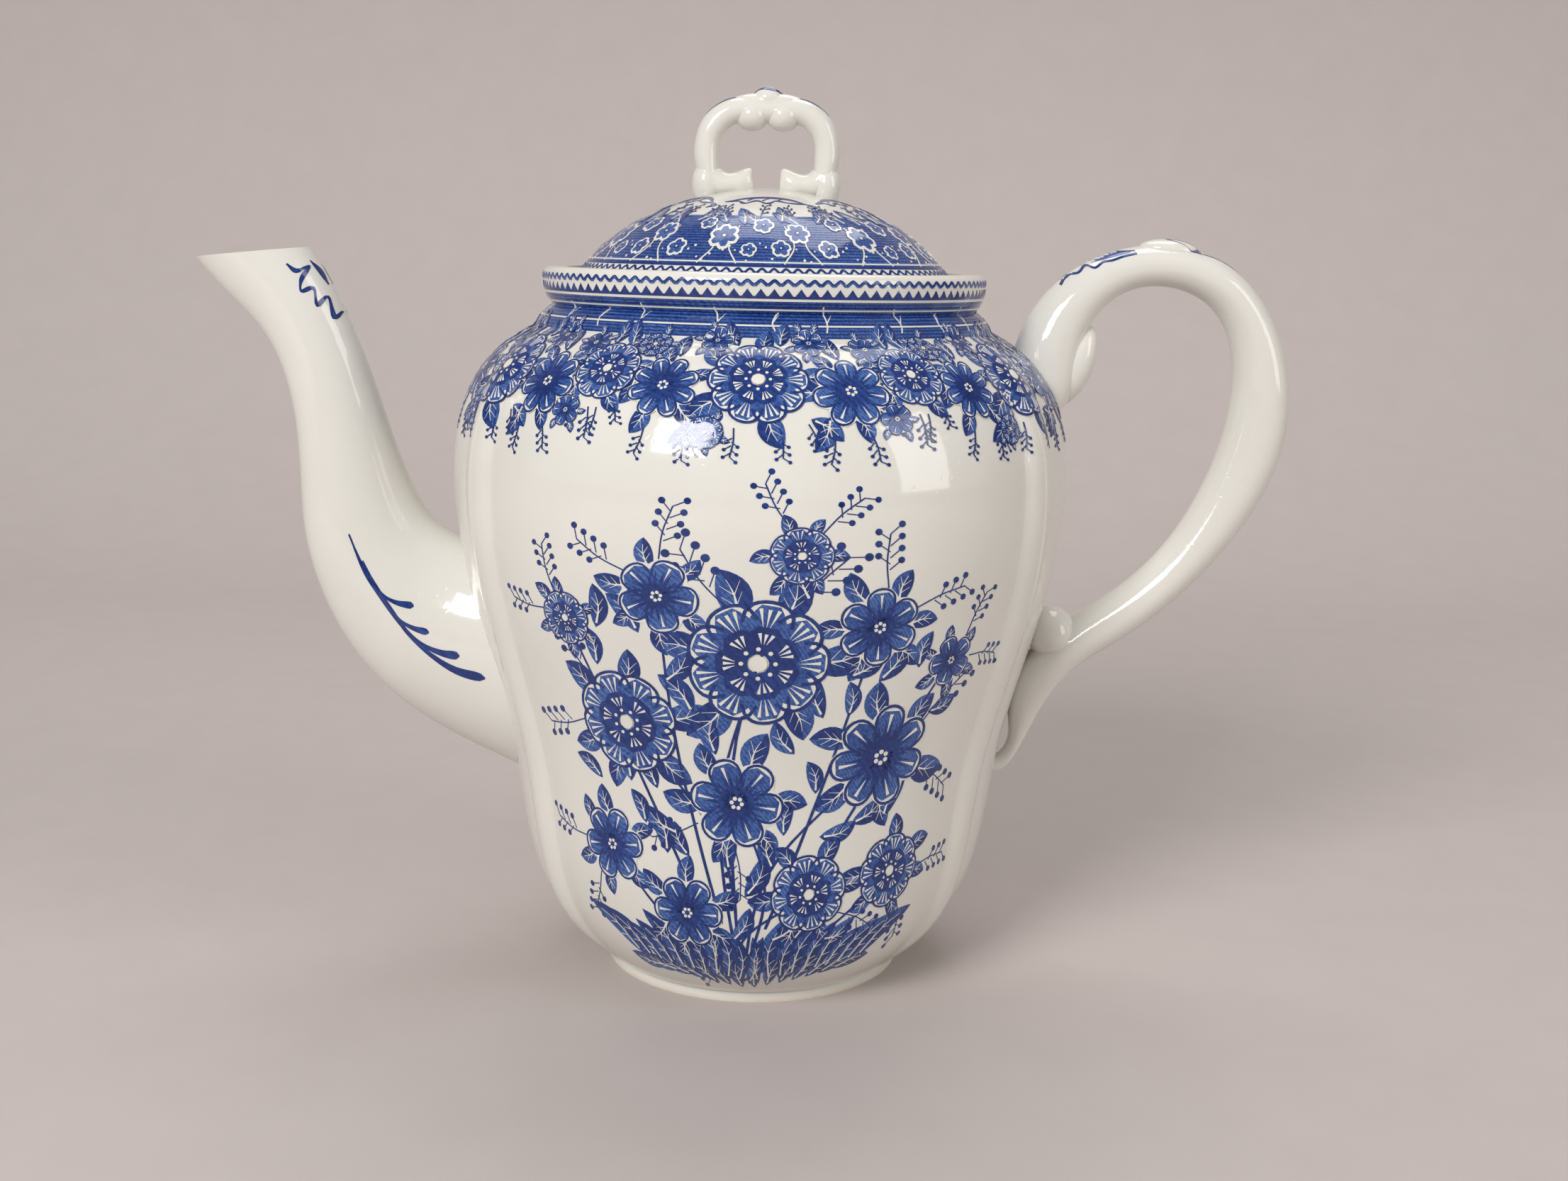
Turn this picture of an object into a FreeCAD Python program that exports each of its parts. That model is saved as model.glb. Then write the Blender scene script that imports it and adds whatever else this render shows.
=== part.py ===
"""Earthenware pot for hot drinks: lobed body, swan-neck spout, scrolled handle, lift-off lid, loop knob.

Millimetres, +Z up. The origin is the centre of the foot on the table, with the spout along -X and the
handle along +X. Every size is a named cell of the sheet "sizes".
"""

import math
import os

import FreeCAD
import Part
import Sketcher
from FreeCAD import Rotation, Vector

doc = FreeCAD.newDocument("pot")

# Driving dimensions

SIZES = {
    # body: lobed wall between the foot and the neck
    "wall": 4.0,
    "foot_radius": 34.2,
    "foot_height": 3.0,
    "foot_ring_width": 5.0,
    "foot_recess": 2.0,
    "floor_thickness": 4.5,
    "base_radius": 35.6,
    "heel_height": 8.0,
    "heel_inset": 27.6,
    "hip_height": 16.0,
    "hip_inset": 21.1,
    "waist_height": 30.0,
    "waist_inset": 16.1,
    "thigh_height": 51.0,
    "thigh_inset": 12.8,
    "flank_height": 76.0,
    "flank_inset": 6.4,
    "belly_drop": 34.0,
    "belly_radius": 69.0,
    "chest_drop": 18.0,
    "chest_inset": 2.2,
    "shoulder_drop": 6.5,
    "shoulder_inset": 9.2,
    "neck_foot_height": 146.0,
    "neck_foot_radius": 50.6,
    "crease_depth": 1.7,
    "crease_root": 1.6,
    "front_crease_angle": 55.0,
    "side_crease_angle": 67.0,
    # collar and rim with the ledge that carries the lid
    "neck_radius": 46.9,
    "neck_rise": 4.6,
    "neck_overlap": 1.0,
    "rim_radius": 48.9,
    "collar_height": 12.6,
    "rim_thickness": 5.2,
    "rim_edge": 1.3,
    "ledge_drop": 3.2,
    "mouth_radius": 39.6,
    # spout
    "spout_start_inset": 24.0,
    "spout_start_z": 69.3,
    "spout_start_heading_angle": 12.0,
    "spout_lead": 15.4,
    "spout_lower_radius": 40.6,
    "spout_lower_turn_angle": 66.0,
    "spout_straight": 28.0,
    "spout_upper_radius": 50.0,
    "spout_upper_turn_angle": 31.5,
    "spout_lip_run": 14.0,
    "spout_root_half_height": 29.0,
    "spout_root_half_width": 20.0,
    "spout_throat_half_height": 9.5,
    "spout_throat_half_width": 8.0,
    "spout_taper_ratio": 1.4,
    "spout_lip_flare": 0.2,
    "spout_wall": 3.0,
    "spout_lip_height": 159.6,
    "spout_lip_tilt_angle": 6.0,
    "strainer_hole_diameter": 5.0,
    "strainer_pitch": 7.6,
    # handle
    "handle_crown_offset": 18.5,
    "handle_crown_drop": 8.8,
    "handle_crown_radius": 24.3,
    "handle_back_radius": 66.7,
    "handle_back_turn_angle": 64.0,
    "handle_start_angle": 200.0,
    "handle_grip_half_depth": 6.2,
    "handle_crown_half_depth": 4.7,
    "handle_root_half_depth": 7.4,
    "handle_half_width": 6.8,
    "thumb_rest_length": 13.0,
    "thumb_rest_height": 4.6,
    "thumb_rest_width": 9.0,
    "thumb_rest_angle": 86.0,
    "curl_radius": 4.6,
    "curl_length": 19.0,
    "curl_lean_angle": 20.0,
    "curl_offset": 6.4,
    "curl_rise": 2.0,
    "scroll_radius": 5.9,
    "scroll_offset": 7.0,
    "scroll_turn_angle": 31.0,
    "tail_bend": 12.0,
    "tail_turn_angle": 35.0,
    "tail_length": 31.0,
    "tail_tip_half_depth": 2.0,
    # lid
    "lid_edge_clearance": 0.5,
    "lid_edge_thickness": 2.8,
    "lid_dome_radius": 40.8,
    "lid_shoulder_radius": 30.0,
    "lid_shoulder_rise": 12.4,
    "lid_top_rise": 21.1,
    "lid_wall": 3.6,
    "lid_collar_clearance": 0.7,
    "lid_collar_depth": 11.0,
    "lid_collar_thickness": 3.4,
    "vent_diameter": 4.0,
    "vent_distance": 24.0,
    # knob
    "knob_half_width": 13.2,
    "knob_foot_lift": 0.6,
    "knob_rise": 15.9,
    "knob_lower_bend": 4.0,
    "knob_upper_bend": 8.0,
    "knob_foot_gap": 6.0,
    "knob_wire_half_depth": 2.8,
    "knob_wire_half_width": 3.6,
    "knob_bud_height": 5.0,
    "knob_tip_half_width": 3.4,
    "knob_tip_height": 5.2,
    "knob_gable_height": 5.0,
    "knob_gable_half_width": 8.6,
    "knob_root_half_width": 3.3,
    "knob_bead_radius": 3.8,
    "knob_bead_drop": 1.2,
}

sheet = doc.addObject("Spreadsheet::Sheet", "sizes")
for row, (alias, number) in enumerate(SIZES.items(), start=1):
    sheet.set(f"A{row}", alias)
    sheet.set(f"B{row}", str(number))
    sheet.setAlias(f"B{row}", alias)
doc.recompute()


def size(alias):
    """The value that a cell of the sheet holds."""
    return float(sheet.get(alias))


def cell(alias):
    """The same cell, as it is written in an expression."""
    return f"sizes.{alias}"


def value_of(expression):
    """What an expression over the sheet comes to, in millimetres."""
    return float(sheet.evalExpression(expression))


# Heights and radii that follow from others

RIM_TOP = "(sizes.neck_foot_height+sizes.collar_height)"
LEDGE = f"({RIM_TOP}-sizes.ledge_drop)"
LID_TOP = f"({LEDGE}+sizes.lid_top_rise)"
LID_SHOULDER = f"({LEDGE}+sizes.lid_shoulder_rise)"
KNOB_BASE = f"({LID_TOP}+sizes.knob_foot_lift)"
KNOB_TOP = f"({KNOB_BASE}+sizes.knob_rise)"


def wall_radius(station):
    """The wall's outer radius at one of its stations: most are set in from the belly."""
    if f"{station}_inset" in SIZES:
        return f"(sizes.belly_radius-sizes.{station}_inset)"
    return f"sizes.{station}_radius"


def bind(thing, **expressions):
    """Binds properties of an object to cells of the sheet."""
    for prop, expression in expressions.items():
        thing.setExpression(prop, expression)
    return thing


def boolean(kind, name, base, tool):
    made = doc.addObject(f"Part::{kind}", name)
    made.Base, made.Tool = base, tool
    return made


def fused(name, shapes):
    made = doc.addObject("Part::MultiFuse", name)
    made.Shapes = shapes
    return made


def lofted(name, sections):
    made = doc.addObject("Part::Loft", name)
    made.Sections = sections
    made.Solid = True
    return made


def ellipsoid(name, centre, lean, **radii):
    """A full ellipsoid: Radius1 lies along its own axis, which leans that many degrees from +Z towards +X."""
    made = doc.addObject("Part::Ellipsoid", name)
    made.Angle1, made.Angle2, made.Angle3 = -90, 90, 360
    made.Placement = FreeCAD.Placement(centre, Rotation(Vector(0, 1, 0), lean))
    return bind(made, **radii)


# Body


def arc_through(centre, radius, start, end, middle):
    """The arc of a circle in a level plane from start to end, on the side where middle lies."""
    outward = (middle - centre).normalize()
    return Part.Arc(start, centre + outward * radius, end).toShape()


def meeting(first, first_radius, second, second_radius, near):
    """The point at those distances from two centres in a level plane that lies nearer to near."""
    apart = second - first
    length = apart.Length
    along = (first_radius**2 - second_radius**2 + length**2) / (2 * length)
    off = math.sqrt(max(first_radius**2 - along**2, 0))
    unit = apart / length
    foot = first + unit * along
    side = Vector(-unit.y, unit.x, 0) * off
    return min((foot + side, foot - side), key=lambda p: (p - near).Length)


def lobed_wire(radius, depth, height):
    """The wall's outline at one height: broad front and back lobes, side lobes for the spout and the
    handle, and a narrow rib between each two, meeting in rounded creases."""
    front = size("front_crease_angle")
    side = size("side_crease_angle")
    root = size("crease_root")
    rib = (front + side) / 2
    lobes = []
    for middle, half in (
        (-90, front),
        (-90 + rib, (side - front) / 2),
        (0, 90 - side),
        (90 - rib, (side - front) / 2),
        (90, front),
        (90 + rib, (side - front) / 2),
        (180, 90 - side),
        (270 - rib, (side - front) / 2),
    ):
        inner = radius - depth
        reach = inner * math.cos(math.radians(half))
        shift = (radius**2 - inner**2) / (2 * (radius - reach))
        heading = Vector(math.cos(math.radians(middle)), math.sin(math.radians(middle)), 0)
        lobes.append((heading * shift + Vector(0, 0, height), radius - shift, middle, half))
    lift = Vector(0, 0, height)
    creases = []
    for (c1, r1, m1, h1), (c2, r2, _, _) in zip(lobes, lobes[1:] + lobes[:1]):
        angle = math.radians(m1 + h1)
        near = Vector(math.cos(angle), math.sin(angle), 0) * (radius + root) + lift
        creases.append(meeting(c1, r1 + root, c2, r2 + root, near))
    edges = []
    for index, (centre, lobe_radius, middle, _) in enumerate(lobes):
        before, after = creases[index - 1], creases[index]
        start = centre + (before - centre).normalize() * lobe_radius
        end = centre + (after - centre).normalize() * lobe_radius
        angle = math.radians(middle)
        crown = Vector(math.cos(angle), math.sin(angle), 0) * radius + lift
        edges.append(arc_through(centre, lobe_radius, start, end, crown))
        nxt = lobes[(index + 1) % len(lobes)]
        onward = nxt[0] + (after - nxt[0]).normalize() * nxt[1]
        edges.append(arc_through(after, root, end, onward, lift))
    return Part.Wire(edges)


# Each station of the wall: its name and how deep its creases are, as a share of crease_depth.
WALL = (
    ("base", 0.15),
    ("heel", 0.6),
    ("hip", 1.0),
    ("waist", 1.0),
    ("thigh", 1.0),
    ("flank", 1.0),
    ("belly", 1.0),
    ("chest", 1.0),
    ("shoulder", 0.7),
    ("neck_foot", 0.25),
)


def station_height(name):
    """How high a station of the wall lies: the upper ones are set down from the foot of the neck."""
    if name == "base":
        return size("foot_height")
    if f"{name}_drop" in SIZES:
        return size("neck_foot_height") - size(f"{name}_drop")
    return size(f"{name}_height")


def pot_outside():
    """The pot's whole outside as one solid: lobed wall, foot and collar."""
    sections = []
    for name, share in WALL:
        section = doc.addObject("Part::Feature", f"wall_outline_{name}")
        depth = size("crease_depth") * share
        section.Shape = lobed_wire(value_of(wall_radius(name)), depth, station_height(name))
        sections.append(section)
    wall = lofted("lobed_wall", sections)
    foot = doc.addObject("Part::Cylinder", "foot_block")
    bind(foot, Radius=cell("foot_radius"), Height=cell("foot_height"))
    return fused("pot_outside", [wall, foot, collar_block()])


def profile_sketch(body, name, corners):
    """A closed outline in the XZ plane. Each corner is (x, z, radius): cells or sums of cells for its place,
    and the radius of the arc that leads to it, positive where the arc bulges to the left of its way and
    None where a straight line leads to it. Every corner and radius is bound to the sheet."""
    sketch = body.newObject("Sketcher::SketchObject", name)
    plane = next(f for f in body.Origin.OriginFeatures if f.Role == "XZ_Plane")
    sketch.AttachmentSupport = (plane, [""])
    sketch.MapMode = "FlatFace"
    places = [Vector(value_of(x), value_of(z), 0) for x, z, _ in corners]
    for index, (_, _, radius) in enumerate(corners):
        start, end = places[index - 1], places[index]
        if radius is None:
            sketch.addGeometry(Part.LineSegment(start, end), False)
            continue
        bend = value_of(radius[1])
        chord = end - start
        rise = bend - math.sqrt(max(bend**2 - (chord.Length / 2) ** 2, 0))
        left = Vector(-chord.y, chord.x, 0).normalize()
        middle = (start + end) / 2 + left * rise * radius[0]
        sketch.addGeometry(Part.Arc(start, middle, end), False)

    count = len(corners)
    ends = []
    for index, (_, _, radius) in enumerate(corners):
        # an arc's start and end follow its own turning sense
        turned = radius is not None and radius[0] > 0
        ends.append((2, 1) if turned else (1, 2))
    for index in range(count):
        nxt = (index + 1) % count
        sketch.addConstraint(Sketcher.Constraint("Coincident", index, ends[index][1], nxt, ends[nxt][0]))
    for index, (x, z, radius) in enumerate(corners):
        point = ends[index][1]
        for axis, expression, kind in ((-2, x, "DistanceX"), (-1, z, "DistanceY")):
            if value_of(expression) == 0:
                sketch.addConstraint(Sketcher.Constraint("PointOnObject", index, point, axis))
                continue
            number = sketch.addConstraint(
                Sketcher.Constraint(kind, -1, 1, index, point, value_of(expression))
            )
            sketch.setExpression(f"Constraints[{number}]", expression)
        if radius is not None:
            number = sketch.addConstraint(Sketcher.Constraint("Radius", index, value_of(radius[1])))
            sketch.setExpression(f"Constraints[{number}]", radius[1])
    return sketch


def turned(name, corners):
    """A body made by turning a closed outline round the Z axis."""
    body = doc.addObject("PartDesign::Body", name)
    sketch = profile_sketch(body, f"{name}_outline", corners)
    turn = body.newObject("PartDesign::Revolution", f"{name}_turned")
    turn.Profile = sketch
    turn.ReferenceAxis = (sketch, ["V_Axis"])
    turn.Angle = 360
    body.Tip = turn
    doc.recompute()
    return body


def collar_block():
    """Neck and flared rim, solid to the axis: the mouth is cut with the rest of the inside."""
    rim, edge = cell("rim_radius"), cell("rim_edge")
    low = "sizes.neck_foot_height-sizes.neck_overlap"
    return turned(
        "collar_block",
        [
            ("0", low, None),
            ("sizes.neck_foot_radius*1.008", low, None),
            (cell("neck_radius"), "sizes.neck_foot_height+sizes.neck_rise", (-1, "sizes.neck_radius/5")),
            (rim, f"{RIM_TOP}-{edge}*2", (-1, "sizes.neck_radius/7")),
            (f"{rim}-{edge}", RIM_TOP, (-1, f"{edge}*1.46")),
            ("0", RIM_TOP, None),
        ],
    )


def well_radius(name, share):
    """The inside radius at a station: the wall is measured from the bottom of the creases."""
    return f"{wall_radius(name)}-sizes.crease_depth*{share}-sizes.wall"


def pot_inside():
    """Everything that is empty inside the pot: the well, the mouth and the ledge for the lid."""
    circles = []
    floor = doc.addObject("Part::Circle", "well_floor")
    bind(floor, Radius="sizes.base_radius-sizes.wall")
    floor.Placement.Base = Vector(0, 0, size("foot_height") + size("floor_thickness"))
    circles.append(floor)
    for name, share in WALL[2:-1]:
        ring = doc.addObject("Part::Circle", f"well_{name}")
        bind(ring, Radius=well_radius(name, share))
        ring.Placement.Base = Vector(0, 0, station_height(name))
        circles.append(ring)
    well = lofted("well", circles)
    funnel = doc.addObject("Part::Cone", "well_funnel")
    bind(
        funnel,
        Radius1=well_radius(*WALL[-2]),
        Radius2=cell("mouth_radius"),
        Height="sizes.shoulder_drop*0.6",
    )
    funnel.Placement.Base = circles[-1].Placement.Base
    mouth = doc.addObject("Part::Cylinder", "mouth")
    mouth.Placement.Base = Vector(0, 0, size("neck_foot_height") - size("shoulder_drop"))
    bind(mouth, Radius=cell("mouth_radius"), Height="sizes.collar_height+sizes.shoulder_drop+sizes.wall")
    ledge = doc.addObject("Part::Cylinder", "ledge")
    ledge.Placement.Base = Vector(0, 0, value_of(LEDGE))
    bind(ledge, Radius="sizes.rim_radius-sizes.rim_thickness", Height="sizes.ledge_drop*1.3")
    recess = doc.addObject("Part::Cylinder", "foot_recess_block")
    bind(recess, Radius="sizes.foot_radius-sizes.foot_ring_width", Height=cell("foot_recess"))
    return fused("pot_inside", [well, funnel, mouth, ledge, recess])


def strainer_holes():
    """Holes pierced through the wall behind the spout, in rows of one, two, three, two and one."""
    pitch = size("strainer_pitch")
    holes = []
    for row, count in enumerate((1, 2, 3, 2, 1)):
        for column in range(count):
            hole = doc.addObject("Part::Cylinder", f"strainer_hole_{len(holes) + 1}")
            bind(hole, Radius="sizes.strainer_hole_diameter/2", Height=f"{wall_radius('flank')}+sizes.wall")
            across = (column - (count - 1) / 2) * pitch
            up = size("spout_start_z") + (row - 2) * pitch * math.sin(math.radians(60))
            hole.Placement = FreeCAD.Placement(Vector(0, across, up), Rotation(Vector(0, 1, 0), -90))
            holes.append(hole)
    return fused("strainer_holes", holes)


# Spout


class Spine:
    """A path in the XZ plane made of straight runs and tangent arcs, walked by length."""

    def __init__(self, start, heading):
        self.legs = []
        self.place, self.heading, self.length = start, heading, 0.0

    def run(self, length):
        self.legs.append((self.length, length, self.place, self.heading, None))
        self._advance(length)
        return self

    def bend(self, radius, turn):
        """An arc that turns by that many degrees, to the left where turn is positive."""
        length = radius * math.radians(abs(turn))
        self.legs.append((self.length, length, self.place, self.heading, math.copysign(radius, turn)))
        self._advance(length)
        return self

    def _advance(self, length):
        self.place, self.heading = self._on(self.legs[-1], length)
        self.length += length

    @staticmethod
    def _on(leg, along):
        _, _, place, heading, radius = leg
        ahead = Vector(math.cos(math.radians(heading)), 0, math.sin(math.radians(heading)))
        if radius is None:
            return place + ahead * along, heading
        left = Vector(-ahead.z, 0, ahead.x)
        angle = along / radius
        moved = ahead * (radius * math.sin(angle)) + left * (radius * (1 - math.cos(angle)))
        return place + moved, heading + math.degrees(angle)

    def at(self, along):
        """The place and the heading in degrees after that length."""
        leg = [leg for leg in self.legs if leg[0] <= along + 1e-9][-1]
        return self._on(leg, along - leg[0])


def cross_section(name, spine, along, half_height, half_width):
    """An ellipse square to the spine. The half sizes are expressions; the taller one may be either."""
    place, heading = spine.at(along)
    ring = doc.addObject("Part::Ellipse", name)
    ahead = Vector(math.cos(math.radians(heading)), 0, math.sin(math.radians(heading)))
    across, level = Vector(-ahead.z, 0, ahead.x), Vector(0, -1, 0)
    if value_of(half_height) >= value_of(half_width):
        longer, major, minor = across, half_height, half_width
    else:
        longer, major, minor = level, half_width, half_height
    ring.Placement = FreeCAD.Placement(place, Rotation(longer, ahead.cross(longer), ahead, "ZXY"))
    return bind(ring, MajorRadius=major, MinorRadius=minor)


def spout_spine():
    start = Vector(size("spout_start_inset") - size("belly_radius"), 0, size("spout_start_z"))
    spine = Spine(start, 180 - size("spout_start_heading_angle"))
    spine.run(size("spout_lead"))
    spine.bend(size("spout_lower_radius"), -size("spout_lower_turn_angle"))
    spine.run(size("spout_straight"))
    spine.bend(size("spout_upper_radius"), size("spout_upper_turn_angle"))
    return spine.run(size("spout_lip_run"))


# Where the spout's sections stand, as shares of its spine.
SPOUT_STATIONS = (0.0, 0.12, 0.22, 0.33, 0.44, 0.56, 0.68, 0.84, 1.0)
SPOUT_THROAT = 0.68


def spout_tube(name, inset):
    """A solid along the spout's spine, smaller all round by the inset, an expression."""
    spine = spout_spine()
    rings = []
    for number, share in enumerate(SPOUT_STATIONS):
        left = max(0.0, 1 - share / SPOUT_THROAT)
        flare = max(0.0, (share - SPOUT_THROAT) / (1 - SPOUT_THROAT))
        parts = []
        for side in ("half_height", "half_width"):
            root, throat = f"sizes.spout_root_{side}", f"sizes.spout_throat_{side}"
            law = f"{throat}+({root}-{throat})*pow({left};sizes.spout_taper_ratio)"
            spread = flare if side == "half_height" else flare * 0.2
            parts.append(f"{law}+sizes.spout_lip_flare*{spread}-{inset}")
        rings.append(cross_section(f"{name}_ring_{number}", spine, spine.length * share, *parts))
    return lofted(name, rings)


def spout(outside):
    horn = boolean("Cut", "spout_trimmed", spout_tube("spout_outer", "0"), outside)
    level = doc.addObject("Part::Box", "spout_mouth_cut")
    bind(level, Length="2*sizes.belly_radius", Width="2*sizes.belly_radius", Height=cell("belly_radius"))
    wide = size("belly_radius")
    spine_end = spout_spine().place
    tilt = Rotation(Vector(0, 1, 0), -size("spout_lip_tilt_angle"))
    level.Placement = FreeCAD.Placement(
        Vector(spine_end.x, 0, size("spout_lip_height")) - tilt.multVec(Vector(wide, wide, 0)), tilt
    )
    levelled = boolean("Cut", "spout_levelled", horn, level)
    return boolean("Cut", "spout", levelled, spout_tube("spout_bore", "sizes.spout_wall"))


# Handle


def handle_crown_x():
    """How far the middle of the handle's crown stands from the pot's axis."""
    return size("belly_radius") + size("handle_crown_offset")


def handle_crown_z():
    """How high the middle of the handle's crown stands."""
    return size("neck_foot_height") - size("handle_crown_drop")


def handle_spine():
    """The bow from the shoulder over the crown and down the back, then the tail that runs down the wall."""
    angle = size("handle_start_angle")
    radius = size("handle_crown_radius")
    crown = Vector(handle_crown_x(), 0, handle_crown_z())
    offset = Vector(math.cos(math.radians(angle)), 0, math.sin(math.radians(angle))) * radius
    spine = Spine(crown + offset, angle - 90)
    spine.bend(radius, -angle)
    spine.bend(size("handle_back_radius"), -size("handle_back_turn_angle"))
    spine.bend(size("tail_bend"), size("tail_turn_angle"))
    return spine.run(size("tail_length"))


def handle(outside):
    spine = handle_spine()
    over, round_back, turn_in, tail = (leg[0] + leg[1] for leg in spine.legs)
    grip, crown, root = (cell(f"handle_{part}_half_depth") for part in ("grip", "crown", "root"))
    wide = cell("handle_half_width")
    tip = cell("tail_tip_half_depth")
    stations = (
        (0.0, f"{root}/2", f"{wide}*0.88"),
        (over * 0.11, root, f"{wide}*1.18"),
        (over * 0.25, f"({root}*2+{crown})/3", f"{wide}*1.09"),
        (over * 0.46, crown, f"{wide}*0.94"),
        (over * 0.72, crown, wide),
        (over, grip, wide),
        ((over + round_back) / 2, f"{grip}*0.95", wide),
        (round_back - (round_back - over) * 0.12, f"{grip}*0.84", f"{wide}*0.91"),
        (turn_in, f"{grip}*0.87", f"{wide}*0.91"),
        ((turn_in + tail) / 2, f"({grip}+{tip})/2.2", f"({wide}+{tip})/2"),
        (tail, tip, f"{tip}*1.2"),
    )
    rings = [
        cross_section(f"handle_ring_{number}", spine, along, deep, broad)
        for number, (along, deep, broad) in enumerate(stations)
    ]
    cast = lofted("handle_bow", rings)
    for part in (thumb_rest(), upper_curl(), lower_scroll(spine, round_back)):
        cast = boolean("Fuse", f"handle_with_{part.Name}", cast, part)
    return boolean("Cut", "handle", cast, outside)


def thumb_rest():
    """A low leaf-shaped rise on the crown, where the thumb presses while pouring."""
    angle = math.radians(size("thumb_rest_angle"))
    reach = size("handle_crown_radius") + size("handle_crown_half_depth") * 0.75
    centre = Vector(handle_crown_x(), 0, handle_crown_z())
    centre += Vector(math.cos(angle), 0, math.sin(angle)) * reach
    return ellipsoid(
        "thumb_rest", centre, 90 - size("thumb_rest_angle"),
        Radius1="sizes.thumb_rest_height/2",
        Radius2="sizes.thumb_rest_length/2",
        Radius3="sizes.thumb_rest_width/2",
    )


def upper_curl():
    """The scroll that turns in under the upper end of the bow and tapers down the shoulder."""
    inner = handle_crown_x() - size("handle_crown_radius")
    centre = Vector(inner + size("curl_offset"), 0, handle_crown_z() + size("curl_rise"))
    return ellipsoid(
        "upper_curl", centre, size("curl_lean_angle"),
        Radius1="sizes.curl_length/2",
        Radius2=cell("curl_radius"),
        Radius3="sizes.curl_radius*1.2",
    )


def lower_scroll(spine, along):
    """The round scroll in the angle between the lower end of the bow and the wall."""
    place, heading = spine.at(along)
    inward = math.radians(heading - size("scroll_turn_angle"))
    centre = place + Vector(math.cos(inward), 0, math.sin(inward)) * size("scroll_offset")
    return ellipsoid(
        "lower_scroll", centre, 0,
        Radius1=cell("scroll_radius"),
        Radius2=cell("scroll_radius"),
        Radius3="sizes.handle_half_width*1.07",
    )


# Lid


def lid():
    """The domed lid with its resting edge and the collar that drops into the mouth."""
    edge = "sizes.rim_radius-sizes.rim_thickness-sizes.lid_edge_clearance"
    edge_top = f"{LEDGE}+sizes.lid_edge_thickness"
    collar = "sizes.mouth_radius-sizes.lid_collar_clearance"
    bottom = f"{LEDGE}-sizes.lid_collar_depth"
    inner = f"{collar}-sizes.lid_collar_thickness"
    dome = cell("lid_dome_radius")
    shell = turned(
        "lid_shell",
        [
            # underside of the crown, then the dome from the axis out to the resting edge
            ("0", f"{LID_TOP}-sizes.lid_wall", (-1, f"{dome}*1.54")),
            ("0", LID_TOP, None),
            (cell("lid_shoulder_radius"), LID_SHOULDER, (1, f"{dome}*1.59")),
            (dome, edge_top, (1, f"{dome}*1.34")),
            (edge, edge_top, None),
            (edge, LEDGE, None),
            # collar, and the underside of the dome's slope
            (collar, LEDGE, None),
            (collar, bottom, None),
            (inner, bottom, None),
            (inner, f"{LEDGE}+sizes.lid_wall*0.28", None),
            ("sizes.lid_shoulder_radius*0.967", f"{LID_SHOULDER}-sizes.lid_wall*1.28", (-1, f"{dome}*1.245")),
        ],
    )
    vent = doc.addObject("Part::Cylinder", "vent")
    bind(vent, Radius="sizes.vent_diameter/2", Height=cell("rim_radius"))
    vent.Placement.Base = Vector(0, size("vent_distance"), value_of(RIM_TOP))
    return boolean("Cut", "lid", shell, vent), shell


# Knob


def knob(lid_shell):
    """An open loop of oval wire with in-turned feet on swelling roots, a gabled tip and two beads beneath it."""
    half, base, top = size("knob_half_width"), value_of(KNOB_BASE), value_of(KNOB_TOP)
    low, high = size("knob_lower_bend"), size("knob_upper_bend")
    reach = half - low - size("knob_foot_gap") / 2
    side = top - base - low - high
    crown = 2 * (half - high)
    spine = Spine(Vector(size("knob_foot_gap") / 2, 0, base), 0)
    spine.run(reach).bend(low, 90).run(side).bend(high, 90)
    spine.run(crown).bend(high, 90).run(side).bend(low, 90).run(reach)
    rings = []
    count = 20
    for number in range(count + 1):
        # the feet end in small rounded tips
        swell = 0.6 if number in (0, count) else 1.0
        deep, wide = (f"{cell(f'knob_wire_half_{way}')}*{swell}" for way in ("depth", "width"))
        rings.append(cross_section(f"knob_ring_{number}", spine, spine.length * number / count, deep, wide))
    loop = lofted("knob_loop", rings)
    parts = [loop]
    tip = top + size("knob_bud_height")
    crest = tip - size("knob_bud_height") * 0.24
    for name, peak in (("tip", tip), ("gable", crest)):
        parts.append(
            ellipsoid(
                f"knob_{name}", Vector(0, 0, peak - size(f"knob_{name}_height") / 2), 0,
                Radius1=f"sizes.knob_{name}_height/2",
                Radius2=cell(f"knob_{name}_half_width"),
                Radius3="sizes.knob_wire_half_width*0.9",
            )
        )
    for word, way in (("left", -1), ("right", 1)):
        bead = Vector(way * size("knob_bead_radius") * 0.9, 0, top - size("knob_bead_drop"))
        parts.append(
            ellipsoid(
                f"knob_bead_{word}", bead, 0,
                Radius1="sizes.knob_bead_radius*0.87",
                Radius2=cell("knob_bead_radius"),
                Radius3="sizes.knob_bead_radius*1.12",
            )
        )
        parts.append(
            ellipsoid(
                f"knob_root_{word}", Vector(way * half, 0, base), 0,
                Radius1="sizes.knob_foot_lift+sizes.lid_wall*1.2",
                Radius2=cell("knob_root_half_width"),
                Radius3="sizes.knob_root_half_width*1.25",
            )
        )
    return boolean("Cut", "lid_knob", fused("knob_cast", parts), lid_shell)


# Assembly

outside = pot_outside()
empty = fused("pot_empty", [pot_inside(), strainer_holes()])
pot_body = boolean("Cut", "pot_body", outside, empty)
lid_made, lid_shell = lid()
pieces = {
    "pot_body": pot_body,
    "spout": spout(outside),
    "handle": handle(outside),
    "lid": lid_made,
    "lid_knob": knob(lid_shell),
}
doc.recompute()

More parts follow.
